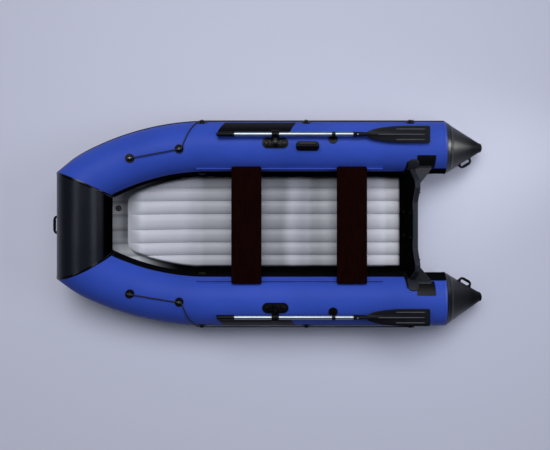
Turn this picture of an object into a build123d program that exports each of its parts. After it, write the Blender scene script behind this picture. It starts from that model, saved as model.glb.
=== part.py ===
from build123d import *
import os
from math import asin, cos, degrees, radians, sin

# Inflatable boat, in millimetres. +X to the bow, +Y to port, +Z up.
# The origin lies on the ground under the middle of the boat.
# Angles round a tube start at its crest, positive outboard and negative inboard.

SIDES = {"port": 1, "starboard": -1}

# Buoyancy tubes
TUBE_R = 187
TUBE_Y = 543
TUBE_AFT_X = -1244
BEND_X = 455
BEND_R = 1420
BEND_TURN = 32.5
SHEER_TILT = 27
BOW_BEND_R = 446
BOW_BEND_TURN = 14.8
SKIN_GAP = 0.3

# Stern cones
CONE_LEAN = 8.5
CONE_LENGTH = 283
CONE_DROP = 70
CONE_TIP_R = 25
CONE_TIP_ROUND = 14

# Floor
FLOOR_BEND_X = 415
FLOOR_BEND_R = 2500
FLOOR_BEND_TURN = 21
BED_Z = 44
CHAMBER_CREST = 60
CHAMBER_SEAM = 44
CENTRE_CHAMBER = 113
INNER_CHAMBER = 96
MIDDLE_CHAMBER = 92
OUTER_CHAMBER = 90
MAT_TUBE_GAP = 55
MAT_FRONT_X = 1052
MAT_CORNER_R = 95
KEEL_Z = 4
CHINE_Z = 26
KEEL_STRIP_W = 44
KEEL_STRIP_T = 3

# Transom
TRANSOM_X = -945
TRANSOM_RAKE = 6
TRANSOM_T = 27
TRANSOM_H = 338
SHOULDER_H = 390
SHOULDER_IN = 165
SHOULDER_OUT = 312
SHOULDER_TOP = 50
SHOULDER_SLOPE = 10
SHOULDER_FALL = 120
SHOULDER_TAPER = 70
DIP_R = 60
SHOULDER_R = 22
CAP_T = 3
CAP_LIP = 12
PAD_W = 220
PAD_H = 200
PAD_T = 9
PAD_CORNER_R = 15
HOLDER_L = 30
HOLDER_T = 9
HOLDER_TOP_ANGLE = -33
HOLDER_FOOT_ANGLE = -140
GUSSET_L = 112
GUSSET_T = 6
GUSSET_ANGLE = -49
GUSSET_HEM = 8
GUSSET_TOP_L = 22
PATCH_T = 4
PATCH_FORE_X = -1010
PATCH_L = 130

# Benches
RAIL_FORE_X = 530
RAIL_AFT_X = -778
RAIL_ANGLE = -50
RAIL_BASE_T = 2.5
RAIL_BASE_W = 30
RAIL_WEB_W = 6
BEAD_R = 6
BEAD_H = 10
BENCH_OVERHANG = 15.4
BENCH_RISE = 26.4
BENCH_W = 210
BENCH_T = 15
BENCH_CORNER_R = 28
FRONT_BENCH_X = 176
REAR_BENCH_X = -558
BENCH_EDGE_R = 3
CHANNEL_W = 34
CHANNEL_INSET = 10
CHANNEL_PLAY = 0.3
CHANNEL_TUBE_GAP = 5.5

# Oars and oarlocks
LOCK_X = -25
LOCK_ANGLE = 8.6
LOCK_PAD_L = 183
LOCK_PAD_W = 75
LOCK_PAD_T = 5
LOCK_BOSS_R = 24
LOCK_BOSS_H = 20
PIN_R = 7
PIN_PLAY = 0.08
HUB_R = 17
HUB_H = 37
PIN_HEAD_R = 12
PIN_HEAD_T = 6
RUN_GAP = 0.5
COLLAR_OUT = 53
COLLAR_UP = 39
COLLAR_R = 27.5
COLLAR_L = 50
SHAFT_R = 15
GRIP_R = 17.5
GRIP_L = 120
GRIP_CAP = 6
GRIP_X = 376
BLADE_X = -572
BLADE_L = 517
BLADE_W = 118
BLADE_T = 7
BLADE_SWELL = 285
BLADE_STRAIGHT = 159
BLADE_CORNER_R = 12
BLADE_NECK_R = 19
BLADE_NECK_L = 60
RIB_W = 7
RIB_H = 4
RIB_SPACING = 36
RIB_L = 205
RIB_END = 33
KEEPER_X = -425
KEEPER_ANGLE = 17
KEEPER_PAD_R = 31
KEEPER_PAD_T = 6
KEEPER_WALL = 4
KEEPER_PLAY = 2
KEEPER_L = 24
KEEPER_POST_W = 14

# Handles
HANDLE_X = -248
HANDLE_ANGLE = 2
HANDLE_L = 156
HANDLE_W = 65
HANDLE_PAD_T = 6
HANDLE_CORNER_R = 20
HANDLE_GRIP_R = 13
HANDLE_GRIP_H = 42
BOW_HANDLE_L = 141
BOW_HANDLE_OUT = 30
LOOP_R = 6
LOOP_BEND_R = 16
STERN_HANDLE_L = 118
STERN_HANDLE_OUT = 34
LOOP_PAD_R = 19
LOOP_PAD_T = 5

# Lifelines
ROPE_R = 4
ROPE_H = 11
ROPE_PLAY = 0.6
RING_R = 32.5
RING_T = 4
BOSS_R = 15
BOSS_H = 18
FIRST_RING_X = 999
FIRST_RING_ANGLE = 2
SECOND_RING_X = 651
SECOND_RING_ANGLE = -1
THIRD_RING_X = 493
FOURTH_RING_X = -245
LAST_RING_X = -985
SIDE_RING_ANGLE = 73
STOPPER_R = 6.5
ROPE_LEAD = 10
LEAD_BEND_R = 14
WRAP_BEND_R = 110
WRAP_SHARES = (0.2, 0.4, 0.6, 0.8)

# Rub strake and valves
STRAKE_W = 28
STRAKE_T = 9
STRAKE_ANGLE = 92
TUBE_VALVE_X = 502
TUBE_VALVE_ANGLE = -76
VALVE_R = 26
VALVE_T = 6
VALVE_CAP_R = 17
VALVE_CAP_T = 10
FLOOR_VALVE_X = 1128
FLOOR_VALVE_Y = -104
FLOOR_VALVE_R = 21
DRAIN_Y = -180
DRAIN_UP = 60

BENCHES = {"front": FRONT_BENCH_X, "rear": REAR_BENCH_X}

os.makedirs("parts", exist_ok=True)


def save(piece, name):
    piece.part.label = name
    export_step(piece.part, f"parts/{name}.step")


# ---------------------------------------------------------------- tube geometry
def tube_station(side, x):
    """Point on a side tube's axis at this X, with the direction of the axis there."""
    origin = Vector(x, side * TUBE_Y, TUBE_R)
    if x <= BEND_X:
        return origin, Vector(1, 0, 0)
    turn = asin((x - BEND_X) / BEND_R)
    inward = Vector(0, -side * cos(radians(SHEER_TILT)), sin(radians(SHEER_TILT)))
    centre = origin + inward * (BEND_R * (1 - cos(turn)))
    return centre, Vector(cos(turn), 0, 0) + inward * sin(turn)


def on_tube(side, x, angle, height=0):
    """Plane that touches a side tube at this X and angle, its X along the tube."""
    centre, along = tube_station(side, x)
    outboard = along.cross(Vector(0, 0, 1)).normalized() * -side
    up = (Vector(0, 0, 1) - along * along.Z).normalized()
    normal = up * cos(radians(angle)) + outboard * sin(radians(angle))
    return Plane(centre + normal * (TUBE_R + height), x_dir=along, z_dir=normal)


def across_tube(side, x):
    """Plane across a side tube, its X outboard and its Y up, facing forward or aft."""
    return Plane((x, side * TUBE_Y, TUBE_R), x_dir=(0, side, 0), z_dir=(side, 0, 0))


def round_tube(angle, radius=TUBE_R):
    """Point at this angle and radius in the plane across a tube."""
    return (radius * sin(radians(angle)), radius * cos(radians(angle)))


def tube_path(side):
    inward = (0, -side * cos(radians(SHEER_TILT)), sin(radians(SHEER_TILT)))
    sheer = Plane(
        (BEND_X, side * TUBE_Y, TUBE_R),
        x_dir=(1, 0, 0),
        z_dir=Vector(1, 0, 0).cross(Vector(*inward)),
    )
    with BuildLine(sheer) as path:
        Line((TUBE_AFT_X - BEND_X - 2 * CONE_TIP_R, 0), (0, 0))
        sweep_in = JernArc((0, 0), (1, 0), BEND_R, BEND_TURN)
        corner = JernArc(sweep_in @ 1, sweep_in % 1, BOW_BEND_R, BOW_BEND_TURN)
        Line(corner @ 1, corner @ 1 + (corner % 1) * TUBE_R)
    return path.wire()


def bow_corner(side):
    """Where the axis of a side tube meets the axis of the bow tube."""
    start, end = radians(BEND_TURN), radians(BEND_TURN + BOW_BEND_TURN)
    inward = Vector(0, -side * cos(radians(SHEER_TILT)), sin(radians(SHEER_TILT)))
    fore = BEND_R * sin(start) + BOW_BEND_R * (sin(end) - sin(start))
    across = BEND_R * (1 - cos(start)) + BOW_BEND_R * (cos(start) - cos(end))
    corner = Vector(BEND_X + fore, side * TUBE_Y, TUBE_R) + inward * across
    return corner, Vector(cos(end), 0, 0) + inward * sin(end)


def mitre(side):
    corner, along = bow_corner(side)
    return Plane(corner, z_dir=along + Vector(0, -side, 0))


def cone_base(side):
    """Seam between a side tube and its cone, its top leaning forward."""
    lean = radians(CONE_LEAN)
    return Plane(
        (TUBE_AFT_X, side * TUBE_Y, TUBE_R), x_dir=(0, 1, 0), z_dir=(-cos(lean), 0, sin(lean))
    )


def swept_tube(side, radius):
    """The whole run of a side tube past both its ends, at the given radius."""
    path = tube_path(side)
    with BuildPart() as tube:
        with BuildSketch(Plane(path @ 0, x_dir=(0, 0, -1), z_dir=(1, 0, 0))):
            Circle(radius)
        sweep(path=path)
    return tube.part


def bow_cylinder(radius):
    corner, _ = bow_corner(1)
    with BuildPart() as tube:
        with BuildSketch(Plane((corner.X, 0, corner.Z), x_dir=(1, 0, 0), z_dir=(0, -1, 0))):
            Circle(radius)
        extrude(amount=corner.Y + TUBE_R, both=True)
    return tube.part


TUBES = {side: swept_tube(side, TUBE_R) for side in SIDES.values()}
SEATS = {side: swept_tube(side, TUBE_R + SKIN_GAP) for side in SIDES.values()}
RING_TOPS = {side: swept_tube(side, TUBE_R + RING_T) for side in SIDES.values()}
BOW_SEAT = bow_cylinder(TUBE_R + SKIN_GAP)


# ---------------------------------------------------------------- tubes and cones
def build_side_tube(side):
    with BuildPart() as tube:
        add(TUBES[side])
        split(bisect_by=mitre(side), keep=Keep.BOTTOM)
        split(bisect_by=cone_base(side), keep=Keep.BOTTOM)
    return tube


def build_bow_tube():
    with BuildPart() as tube:
        add(bow_cylinder(TUBE_R))
        split(bisect_by=mitre(1), keep=Keep.TOP)
        split(bisect_by=mitre(-1), keep=Keep.TOP)
    return tube


def cone_tip(side):
    tip = (TUBE_AFT_X - CONE_LENGTH, side * TUBE_Y, TUBE_R - CONE_DROP)
    return Plane(tip, x_dir=(0, 1, 0), z_dir=(-CONE_LENGTH, 0, -CONE_DROP))


def build_cone(side):
    with BuildPart() as cone:
        with BuildSketch(cone_base(side)):
            Ellipse(TUBE_R, TUBE_R / cos(radians(CONE_LEAN)))
        with BuildSketch(cone_tip(side)):
            Circle(CONE_TIP_R)
        loft(ruled=True)
        fillet(cone.faces().sort_by(Axis.X)[0].edges(), CONE_TIP_ROUND)
    return cone


def build_rub_strake(side):
    with BuildPart() as strake:
        start = tube_path(side) @ 0
        rim = on_tube(side, start.X, STRAKE_ANGLE)
        with BuildSketch(Plane(rim.origin, x_dir=rim.z_dir, z_dir=(1, 0, 0))):
            with BuildLine():
                ThreePointArc((0, -STRAKE_W / 2), (STRAKE_T, 0), (0, STRAKE_W / 2))
                Polyline((0, STRAKE_W / 2), (-STRAKE_T, STRAKE_W / 2), (-STRAKE_T, -STRAKE_W / 2),
                         (0, -STRAKE_W / 2))
            make_face()
        sweep(path=tube_path(side))
        add(TUBES[side], mode=Mode.SUBTRACT)
        split(bisect_by=mitre(side), keep=Keep.BOTTOM)
        split(bisect_by=cone_base(side), keep=Keep.BOTTOM)
    return strake


# ---------------------------------------------------------------- floor
def floor_path(aft_x):
    with BuildLine(Plane.XZ) as path:
        Line((aft_x, 0), (FLOOR_BEND_X, 0))
        JernArc((FLOOR_BEND_X, 0), (1, 0), FLOOR_BEND_R, FLOOR_BEND_TURN)
    return path.wire()


TRANSOM_LEAN = radians(TRANSOM_RAKE)
TRANSOM_FACE = Plane(
    (TRANSOM_X, 0, BED_Z), x_dir=(0, 1, 0), z_dir=(cos(TRANSOM_LEAN), 0, sin(TRANSOM_LEAN))
)
TRANSOM_AFT = TRANSOM_FACE.offset(-TRANSOM_T)
FLOOR_AFT = TRANSOM_X - TRANSOM_T - CAP_T


def half_width(piece, x):
    """How far a piece reaches to port at this X."""
    cut = section(piece.part, section_by=Plane.YZ.offset(x), mode=Mode.PRIVATE)
    return cut.bounding_box().max.Y


def build_air_floor():
    """Seven inflated chambers side by side, lying on the hull bottom."""
    with BuildPart() as mat:
        with BuildSketch(Plane((FLOOR_AFT, 0, BED_Z), x_dir=(0, 1, 0), z_dir=(1, 0, 0))):
            with BuildLine():
                inner = CENTRE_CHAMBER / 2
                ThreePointArc((-inner, CHAMBER_SEAM), (0, CHAMBER_CREST), (inner, CHAMBER_SEAM))
                for width in (INNER_CHAMBER, MIDDLE_CHAMBER, OUTER_CHAMBER):
                    outer = inner + width
                    crest = (inner + outer) / 2
                    for side in SIDES.values():
                        ThreePointArc(
                            (side * inner, CHAMBER_SEAM),
                            (side * crest, CHAMBER_CREST),
                            (side * outer, CHAMBER_SEAM),
                        )
                    inner = outer
                bulge = inner + CHAMBER_SEAM / 4
                for side in SIDES.values():
                    ThreePointArc(
                        (side * inner, CHAMBER_SEAM), (side * bulge, CHAMBER_SEAM / 2), (side * inner, 0)
                    )
                Line((-inner, 0), (inner, 0))
            make_face()
        sweep(path=floor_path(FLOOR_AFT))
        split(bisect_by=TRANSOM_FACE.offset(SKIN_GAP), keep=Keep.TOP)
        for side in SIDES.values():
            add(swept_tube(side, TUBE_R + MAT_TUBE_GAP), mode=Mode.SUBTRACT)
        nose_start = MAT_FRONT_X - 2 * MAT_CORNER_R
        nose = [(x, half_width(mat, x)) for x in (nose_start, MAT_FRONT_X)]
        with BuildSketch(Plane.XY):
            with BuildLine():
                Polyline((nose_start, TUBE_Y), nose[0])
                Polyline((nose_start, -TUBE_Y), (nose[0][0], -nose[0][1]))
                FilletPolyline(nose[0], nose[1], (nose[1][0], -nose[1][1]),
                               (nose[0][0], -nose[0][1]), radius=MAT_CORNER_R)
                Polyline((nose_start, TUBE_Y), (FLOOR_AFT, TUBE_Y), (FLOOR_AFT, -TUBE_Y),
                         (nose_start, -TUBE_Y))
            make_face()
        extrude(amount=TUBE_Y, mode=Mode.INTERSECT)
    return mat


def build_hull_bottom():
    with BuildPart() as bottom:
        with BuildSketch(Plane((FLOOR_AFT, 0, 0), x_dir=(0, 1, 0), z_dir=(1, 0, 0))):
            with BuildLine():
                Polyline((0, KEEL_Z), (TUBE_Y - TUBE_R / 2, CHINE_Z), (TUBE_Y - TUBE_R / 2, BED_Z),
                         (TUBE_R / 2 - TUBE_Y, BED_Z), (TUBE_R / 2 - TUBE_Y, CHINE_Z), close=True)
            make_face()
        sweep(path=floor_path(FLOOR_AFT))
        add([*SEATS.values(), BOW_SEAT], mode=Mode.SUBTRACT)
        biggest = bottom.solids().sort_by(SortBy.VOLUME)[-1]
    with BuildPart() as trimmed:
        add(biggest)
    return trimmed


def build_keel_strip():
    slope = (CHINE_Z - KEEL_Z) / (TUBE_Y - TUBE_R / 2)
    half = KEEL_STRIP_W / 2
    low = KEEL_Z - KEEL_STRIP_T
    with BuildPart() as strip:
        with BuildSketch(Plane((FLOOR_AFT, 0, 0), x_dir=(0, 1, 0), z_dir=(1, 0, 0))):
            with BuildLine():
                Polyline((0, KEEL_Z), (half, KEEL_Z + slope * half), (half, low), (-half, low),
                         (-half, KEEL_Z + slope * half), close=True)
            make_face()
        sweep(path=floor_path(FLOOR_AFT))
        add(BOW_SEAT, mode=Mode.SUBTRACT)
        biggest = strip.solids().sort_by(SortBy.VOLUME)[-1]
    with BuildPart() as trimmed:
        add(biggest)
    return trimmed


# ---------------------------------------------------------------- transom
def transom_outline():
    """Board with raised shoulders in the transom's own plane, its foot on the hull bottom."""
    wide = TUBE_Y - TUBE_R / 2
    half = [
        (wide, SHOULDER_H - SHOULDER_FALL - 2 * CAP_LIP),
        (SHOULDER_OUT + SHOULDER_TAPER, SHOULDER_H - SHOULDER_FALL),
        (SHOULDER_OUT, SHOULDER_H - SHOULDER_SLOPE),
        (SHOULDER_OUT - SHOULDER_TOP, SHOULDER_H),
        (SHOULDER_IN, TRANSOM_H),
    ]
    radii = [SHOULDER_R, SHOULDER_R, SHOULDER_R, DIP_R]
    with BuildSketch() as board:
        with BuildLine():
            FilletPolyline(*half, *[(-y, h) for y, h in reversed(half)], radius=radii + radii[::-1])
            Polyline(half[0], (wide, 0), (-wide, 0), (-half[0][0], half[0][1]))
        make_face()
    return board.sketch


def build_transom():
    with BuildPart() as board:
        with BuildSketch(TRANSOM_AFT):
            add(transom_outline())
        extrude(amount=TRANSOM_T)
        add([*SEATS.values()], mode=Mode.SUBTRACT)
        split(bisect_by=Plane.XY.offset(BED_Z), keep=Keep.TOP)
        biggest = board.solids().sort_by(SortBy.VOLUME)[-1]
    with BuildPart() as trimmed:
        add(biggest)
    return trimmed


def build_transom_cap():
    """Channel folded over the top edge of the transom, down to the tubes."""
    with BuildPart() as cap:
        with BuildSketch(TRANSOM_AFT.offset(-CAP_T)):
            add(transom_outline())
            offset(amount=CAP_T, kind=Kind.ARC)
            with BuildSketch(mode=Mode.SUBTRACT):
                add(transom_outline())
                offset(amount=-CAP_LIP, kind=Kind.ARC)
            with Locations((0, SHOULDER_H - SHOULDER_FALL)):
                Rectangle(2 * TUBE_Y, SHOULDER_H, align=(Align.CENTER, Align.MIN), mode=Mode.INTERSECT)
        extrude(amount=TRANSOM_T + 2 * CAP_T)
        with BuildSketch(TRANSOM_AFT):
            add(transom_outline())
        extrude(amount=TRANSOM_T, mode=Mode.SUBTRACT)
        add([*SEATS.values()], mode=Mode.SUBTRACT)
    return cap


def build_motor_pads():
    """Wear plates for a clamped outboard motor on both faces of the transom."""
    top = TRANSOM_H - CAP_LIP - CAP_T
    with BuildPart() as pads:
        with BuildSketch(TRANSOM_FACE):
            with Locations((0, top)):
                RectangleRounded(PAD_W, PAD_H, PAD_CORNER_R, align=(Align.CENTER, Align.MAX))
        extrude(amount=PAD_T)
        with BuildSketch(TRANSOM_AFT):
            with Locations((0, top)):
                RectangleRounded(PAD_W, PAD_H, PAD_CORNER_R, align=(Align.CENTER, Align.MAX))
        extrude(amount=-PAD_T)
    return pads


def build_drain_valve():
    with BuildPart() as valve:
        with BuildSketch(TRANSOM_AFT):
            with Locations((DRAIN_Y, DRAIN_UP)):
                Circle(VALVE_R)
        extrude(amount=-VALVE_T)
        with BuildSketch(TRANSOM_AFT.offset(-VALVE_T)):
            with Locations((DRAIN_Y, DRAIN_UP)):
                Circle(VALVE_CAP_R)
        extrude(amount=-VALVE_CAP_T)
    return valve


def ring_sector(angle_in, angle_out, inner_r, outer_r):
    """Band round a tube between two angles, drawn in the plane across it."""
    middle = (angle_in + angle_out) / 2
    with BuildLine() as outline:
        ThreePointArc(
            round_tube(angle_in, inner_r), round_tube(middle, inner_r), round_tube(angle_out, inner_r)
        )
        Line(round_tube(angle_out, inner_r), round_tube(angle_out, outer_r))
        ThreePointArc(
            round_tube(angle_out, outer_r), round_tube(middle, outer_r), round_tube(angle_in, outer_r)
        )
        Line(round_tube(angle_in, outer_r), round_tube(angle_in, inner_r))
    return outline.line


def build_transom_holder(side):
    """Moulded strip on the tube that holds the transom's end, in front of the board."""
    with BuildPart() as holder:
        with BuildSketch(across_tube(side, TRANSOM_AFT.origin.X - SHOULDER_H)):
            with BuildLine():
                add(ring_sector(HOLDER_FOOT_ANGLE, HOLDER_TOP_ANGLE, TUBE_R, TUBE_R + HOLDER_T))
            make_face()
        extrude(amount=side * 2 * SHOULDER_H)
        split(bisect_by=TRANSOM_FACE.offset(CAP_T + SKIN_GAP), keep=Keep.TOP)
        split(bisect_by=TRANSOM_FACE.offset(CAP_T + HOLDER_L), keep=Keep.BOTTOM)
        split(bisect_by=Plane.XY.offset(BED_Z + CHAMBER_CREST / 2), keep=Keep.TOP)
    return holder


def build_stern_patch(side):
    with BuildPart() as patch:
        with BuildSketch(across_tube(side, PATCH_FORE_X - PATCH_L)):
            with BuildLine():
                add(ring_sector(-50, -17.5, TUBE_R, TUBE_R + PATCH_T))
            make_face()
        extrude(amount=side * PATCH_L)
    return patch


def build_transom_gusset(side):
    """Sloping web from the transom's shoulder down to the patch on the tube."""
    top = SHOULDER_H - SHOULDER_SLOPE - SHOULDER_TOP
    shoulder = TRANSOM_AFT.from_local_coords((side * (SHOULDER_OUT - SHOULDER_R), top, 0))
    seat = TUBE_R + PATCH_T
    foot = Vector(*round_tube(GUSSET_ANGLE, seat))
    fore = Vector(shoulder.X, side * (TUBE_Y + foot.X), TUBE_R + foot.Y)
    aft = fore + Vector(-GUSSET_L, 0, 0)
    web = Plane(fore, x_dir=aft - fore, z_dir=(aft - fore).cross(shoulder - fore))
    reach = (shoulder - fore).length
    with BuildPart() as gusset:
        with BuildSketch(web):
            with BuildLine():
                Polyline((-SHOULDER_R, -GUSSET_HEM), (GUSSET_L, -GUSSET_HEM), (GUSSET_L, GUSSET_HEM),
                         (GUSSET_TOP_L, reach), (-SHOULDER_R, reach), close=True)
            make_face()
        extrude(amount=GUSSET_T / 2, both=True)
        split(bisect_by=TRANSOM_AFT.offset(-CAP_T - SKIN_GAP), keep=Keep.BOTTOM)
        with BuildSketch(across_tube(side, TUBE_AFT_X)):
            Circle(seat + SKIN_GAP)
        extrude(amount=side * TUBE_R * 3, mode=Mode.SUBTRACT)
    return gusset


# ---------------------------------------------------------------- benches
def bead_centre(side):
    y, z = round_tube(RAIL_ANGLE, TUBE_R + BEAD_H)
    return side * (TUBE_Y + y), TUBE_R + z


def build_bench_rail(side):
    half = degrees(RAIL_BASE_W / 2 / TUBE_R)
    with BuildPart() as rail:
        with BuildSketch(across_tube(side, RAIL_AFT_X)):
            with BuildLine():
                add(ring_sector(RAIL_ANGLE - half, RAIL_ANGLE + half, TUBE_R, TUBE_R + RAIL_BASE_T))
            make_face()
            with Locations(round_tube(RAIL_ANGLE, TUBE_R + BEAD_H)):
                Circle(BEAD_R)
            with Locations(round_tube(RAIL_ANGLE, TUBE_R + BEAD_H / 2)):
                Rectangle(RAIL_WEB_W, BEAD_H, rotation=-RAIL_ANGLE)
        extrude(amount=side * (RAIL_FORE_X - RAIL_AFT_X))
        add(TUBES[side], mode=Mode.SUBTRACT)
    return rail


def build_bench_board(place):
    y, z = bead_centre(1)
    with BuildPart() as board:
        with BuildSketch(Plane((BENCHES[place], 0, z + BENCH_RISE))):
            RectangleRounded(BENCH_W, 2 * (y + BENCH_OVERHANG), BENCH_CORNER_R)
        extrude(amount=BENCH_T)
        fillet(board.edges().group_by(Axis.Z)[-1], BENCH_EDGE_R)
    return board


def build_bench_channels(place):
    """Channels under a bench's ends, each sliding along the bead of a rail."""
    start = BENCHES[place] - BENCH_W / 2 + CHANNEL_INSET
    with BuildPart() as channels:
        for side in SIDES.values():
            y, z = bead_centre(side)
            with BuildSketch(Plane((start, 0, 0), x_dir=(0, 1, 0), z_dir=(1, 0, 0))):
                with Locations((y, z + BENCH_RISE)):
                    Rectangle(CHANNEL_W, BENCH_RISE + BEAD_R / 2, align=(Align.CENTER, Align.MAX))
                with Locations((y, z)):
                    Circle(BEAD_R + CHANNEL_PLAY, mode=Mode.SUBTRACT)
                with Locations((side * TUBE_Y, TUBE_R)):
                    Circle(TUBE_R + CHANNEL_TUBE_GAP, mode=Mode.SUBTRACT)
                with Locations((y, z - BEAD_R)):
                    Rectangle(2 * BEAD_R, 2 * BEAD_R, mode=Mode.SUBTRACT)
            extrude(amount=BENCH_W - 2 * CHANNEL_INSET)
    return channels


# ---------------------------------------------------------------- oars
def lock_plane(side):
    return on_tube(side, LOCK_X, LOCK_ANGLE)


def oar_axis(side):
    """Y and Z of the oar's axis, which lies along the tube at rest."""
    lock = lock_plane(side)
    centre = lock.from_local_coords((0, side * COLLAR_OUT, COLLAR_UP))
    return centre.Y, centre.Z


def oar_section(side, x):
    y, z = oar_axis(side)
    return Plane((x, y, z), x_dir=(0, 1, 0), z_dir=(1, 0, 0))


def build_oarlock_base(side):
    lock = lock_plane(side)
    with BuildPart() as base:
        with BuildSketch(lock.offset(-LOCK_PAD_W / 4)):
            SlotOverall(LOCK_PAD_L, LOCK_PAD_W)
        extrude(amount=LOCK_PAD_W / 4 + LOCK_PAD_T)
        with BuildSketch(lock):
            Circle(LOCK_BOSS_R)
        extrude(amount=LOCK_BOSS_H)
        with BuildSketch(lock.offset(LOCK_BOSS_H)):
            Circle(PIN_R)
        extrude(amount=HUB_H + 2 * RUN_GAP)
        with BuildSketch(lock.offset(LOCK_BOSS_H + HUB_H + 2 * RUN_GAP)):
            Circle(PIN_HEAD_R)
        extrude(amount=PIN_HEAD_T)
        fillet(base.faces().sort_by(Axis(lock.origin, lock.z_dir))[-1].edges(), 2)
        add(TUBES[side], mode=Mode.SUBTRACT)
    return base


def build_oar_swivel(side):
    lock = lock_plane(side)
    with BuildPart() as swivel:
        with BuildSketch(lock.offset(LOCK_BOSS_H + RUN_GAP)):
            Circle(HUB_R)
        extrude(amount=HUB_H)
        with BuildSketch(oar_section(side, LOCK_X - COLLAR_L / 2)):
            Circle(COLLAR_R)
        extrude(amount=COLLAR_L)
        with BuildSketch(lock.offset(COLLAR_UP - 9)):
            with Locations((0, side * COLLAR_OUT / 2)):
                Rectangle(26, COLLAR_OUT)
        extrude(amount=18)
        with BuildSketch(lock):
            Circle(PIN_R + PIN_PLAY)
        extrude(amount=LOCK_BOSS_H + 2 * HUB_H, mode=Mode.SUBTRACT)
        with BuildSketch(oar_section(side, LOCK_X - COLLAR_L)):
            Circle(SHAFT_R)
        extrude(amount=2 * COLLAR_L, mode=Mode.SUBTRACT)
    return swivel


def build_oar_shaft(side):
    aft = BLADE_X - BLADE_NECK_L / 2
    with BuildPart() as shaft:
        with BuildSketch(oar_section(side, aft)):
            Circle(SHAFT_R)
        extrude(amount=GRIP_X - GRIP_CAP - aft)
    return shaft


def build_oar_grip(side):
    with BuildPart() as grip:
        with BuildSketch(oar_section(side, GRIP_X - GRIP_L)):
            Circle(GRIP_R)
        extrude(amount=GRIP_L)
        fillet(grip.edges().group_by(Axis.X)[-1], 5)
        with BuildSketch(oar_section(side, GRIP_X - GRIP_L)):
            Circle(SHAFT_R)
        extrude(amount=GRIP_L - GRIP_CAP, mode=Mode.SUBTRACT)
    return grip


def build_oar_blade(side):
    """Flat blade with ribs on both faces, and a socket round the shaft's end."""
    y, z = oar_axis(side)
    end = BLADE_X - BLADE_L
    full = end + BLADE_STRAIGHT
    with BuildPart() as blade:
        with BuildSketch(Plane((0, y, z - BLADE_T / 2))):
            with Locations((full, 0)):
                Ellipse(BLADE_SWELL, BLADE_W / 2)
            with Locations((end, 0)):
                Rectangle(BLADE_L, BLADE_W, align=(Align.MIN, Align.CENTER), mode=Mode.INTERSECT)
                Rectangle(BLADE_STRAIGHT, BLADE_W, align=(Align.MIN, Align.CENTER))
            fillet(vertices().group_by(Axis.X)[0], BLADE_CORNER_R)
        extrude(amount=BLADE_T)
        with BuildSketch(oar_section(side, full + BLADE_SWELL - 2 * BLADE_CORNER_R)):
            Circle(BLADE_NECK_R)
        extrude(amount=BLADE_X - full - BLADE_SWELL + 3 * BLADE_CORNER_R)
        with BuildSketch(Plane((0, y, z - BLADE_T / 2 - RIB_H))):
            with Locations((full + BLADE_SWELL, 0)):
                Rectangle(full + BLADE_SWELL - end - RIB_END, RIB_W, align=(Align.MAX, Align.CENTER))
            for row in (-1, 1):
                with Locations((end + RIB_END, row * RIB_SPACING)):
                    Rectangle(RIB_L, RIB_W, align=(Align.MIN, Align.CENTER))
        extrude(amount=BLADE_T + 2 * RIB_H)
        with BuildSketch(oar_section(side, BLADE_X - BLADE_NECK_L / 2)):
            Circle(SHAFT_R)
        extrude(amount=BLADE_NECK_L, mode=Mode.SUBTRACT)
    return blade


def build_oar_keeper(side):
    """Clip that holds the stowed oar and lets it leave outboard."""
    pad = on_tube(side, KEEPER_X, KEEPER_ANGLE)
    y, z = oar_axis(side)
    lock = lock_plane(side)
    out = Vector(*lock.y_dir) * side
    inner = SHAFT_R + KEEPER_PLAY
    section = Plane((KEEPER_X - KEEPER_L / 2, y, z), x_dir=out, z_dir=Vector(side, 0, 0))
    with BuildPart() as keeper:
        with BuildSketch(pad.offset(-KEEPER_PAD_R / 4)):
            Circle(KEEPER_PAD_R)
        extrude(amount=KEEPER_PAD_R / 4 + KEEPER_PAD_T)
        with BuildSketch(section):
            Circle(inner + KEEPER_WALL)
            with Locations((-inner - KEEPER_WALL, 0)):
                Rectangle(KEEPER_POST_W, 2 * inner + KEEPER_WALL, align=(Align.MIN, Align.MAX))
            Circle(inner, mode=Mode.SUBTRACT)
            Rectangle(2 * inner, 2 * inner, align=(Align.MIN, Align.CENTER), mode=Mode.SUBTRACT)
        extrude(amount=side * KEEPER_L)
        add(TUBES[side], mode=Mode.SUBTRACT)
    return keeper


# ---------------------------------------------------------------- handles
def build_side_handle():
    side = SIDES["starboard"]
    seat = on_tube(side, HANDLE_X, HANDLE_ANGLE)
    post = HANDLE_GRIP_R * 2
    with BuildPart() as handle:
        with BuildSketch(seat.offset(-HANDLE_W / 4)):
            RectangleRounded(HANDLE_L, HANDLE_W, HANDLE_CORNER_R)
        extrude(amount=HANDLE_W / 4 + HANDLE_PAD_T)
        with BuildSketch(seat):
            for end in (-1, 1):
                with Locations((end * (HANDLE_L / 2 - post / 2), 0)):
                    RectangleRounded(post, post, HANDLE_CORNER_R / 2)
        extrude(amount=HANDLE_GRIP_H)
        grip = Plane(seat.from_local_coords((-HANDLE_L / 2, 0, HANDLE_GRIP_H)), x_dir=seat.y_dir,
                     z_dir=seat.x_dir)
        with BuildSketch(grip):
            Circle(HANDLE_GRIP_R)
        extrude(amount=HANDLE_L)
        add(TUBES[side], mode=Mode.SUBTRACT)
    return handle


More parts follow.
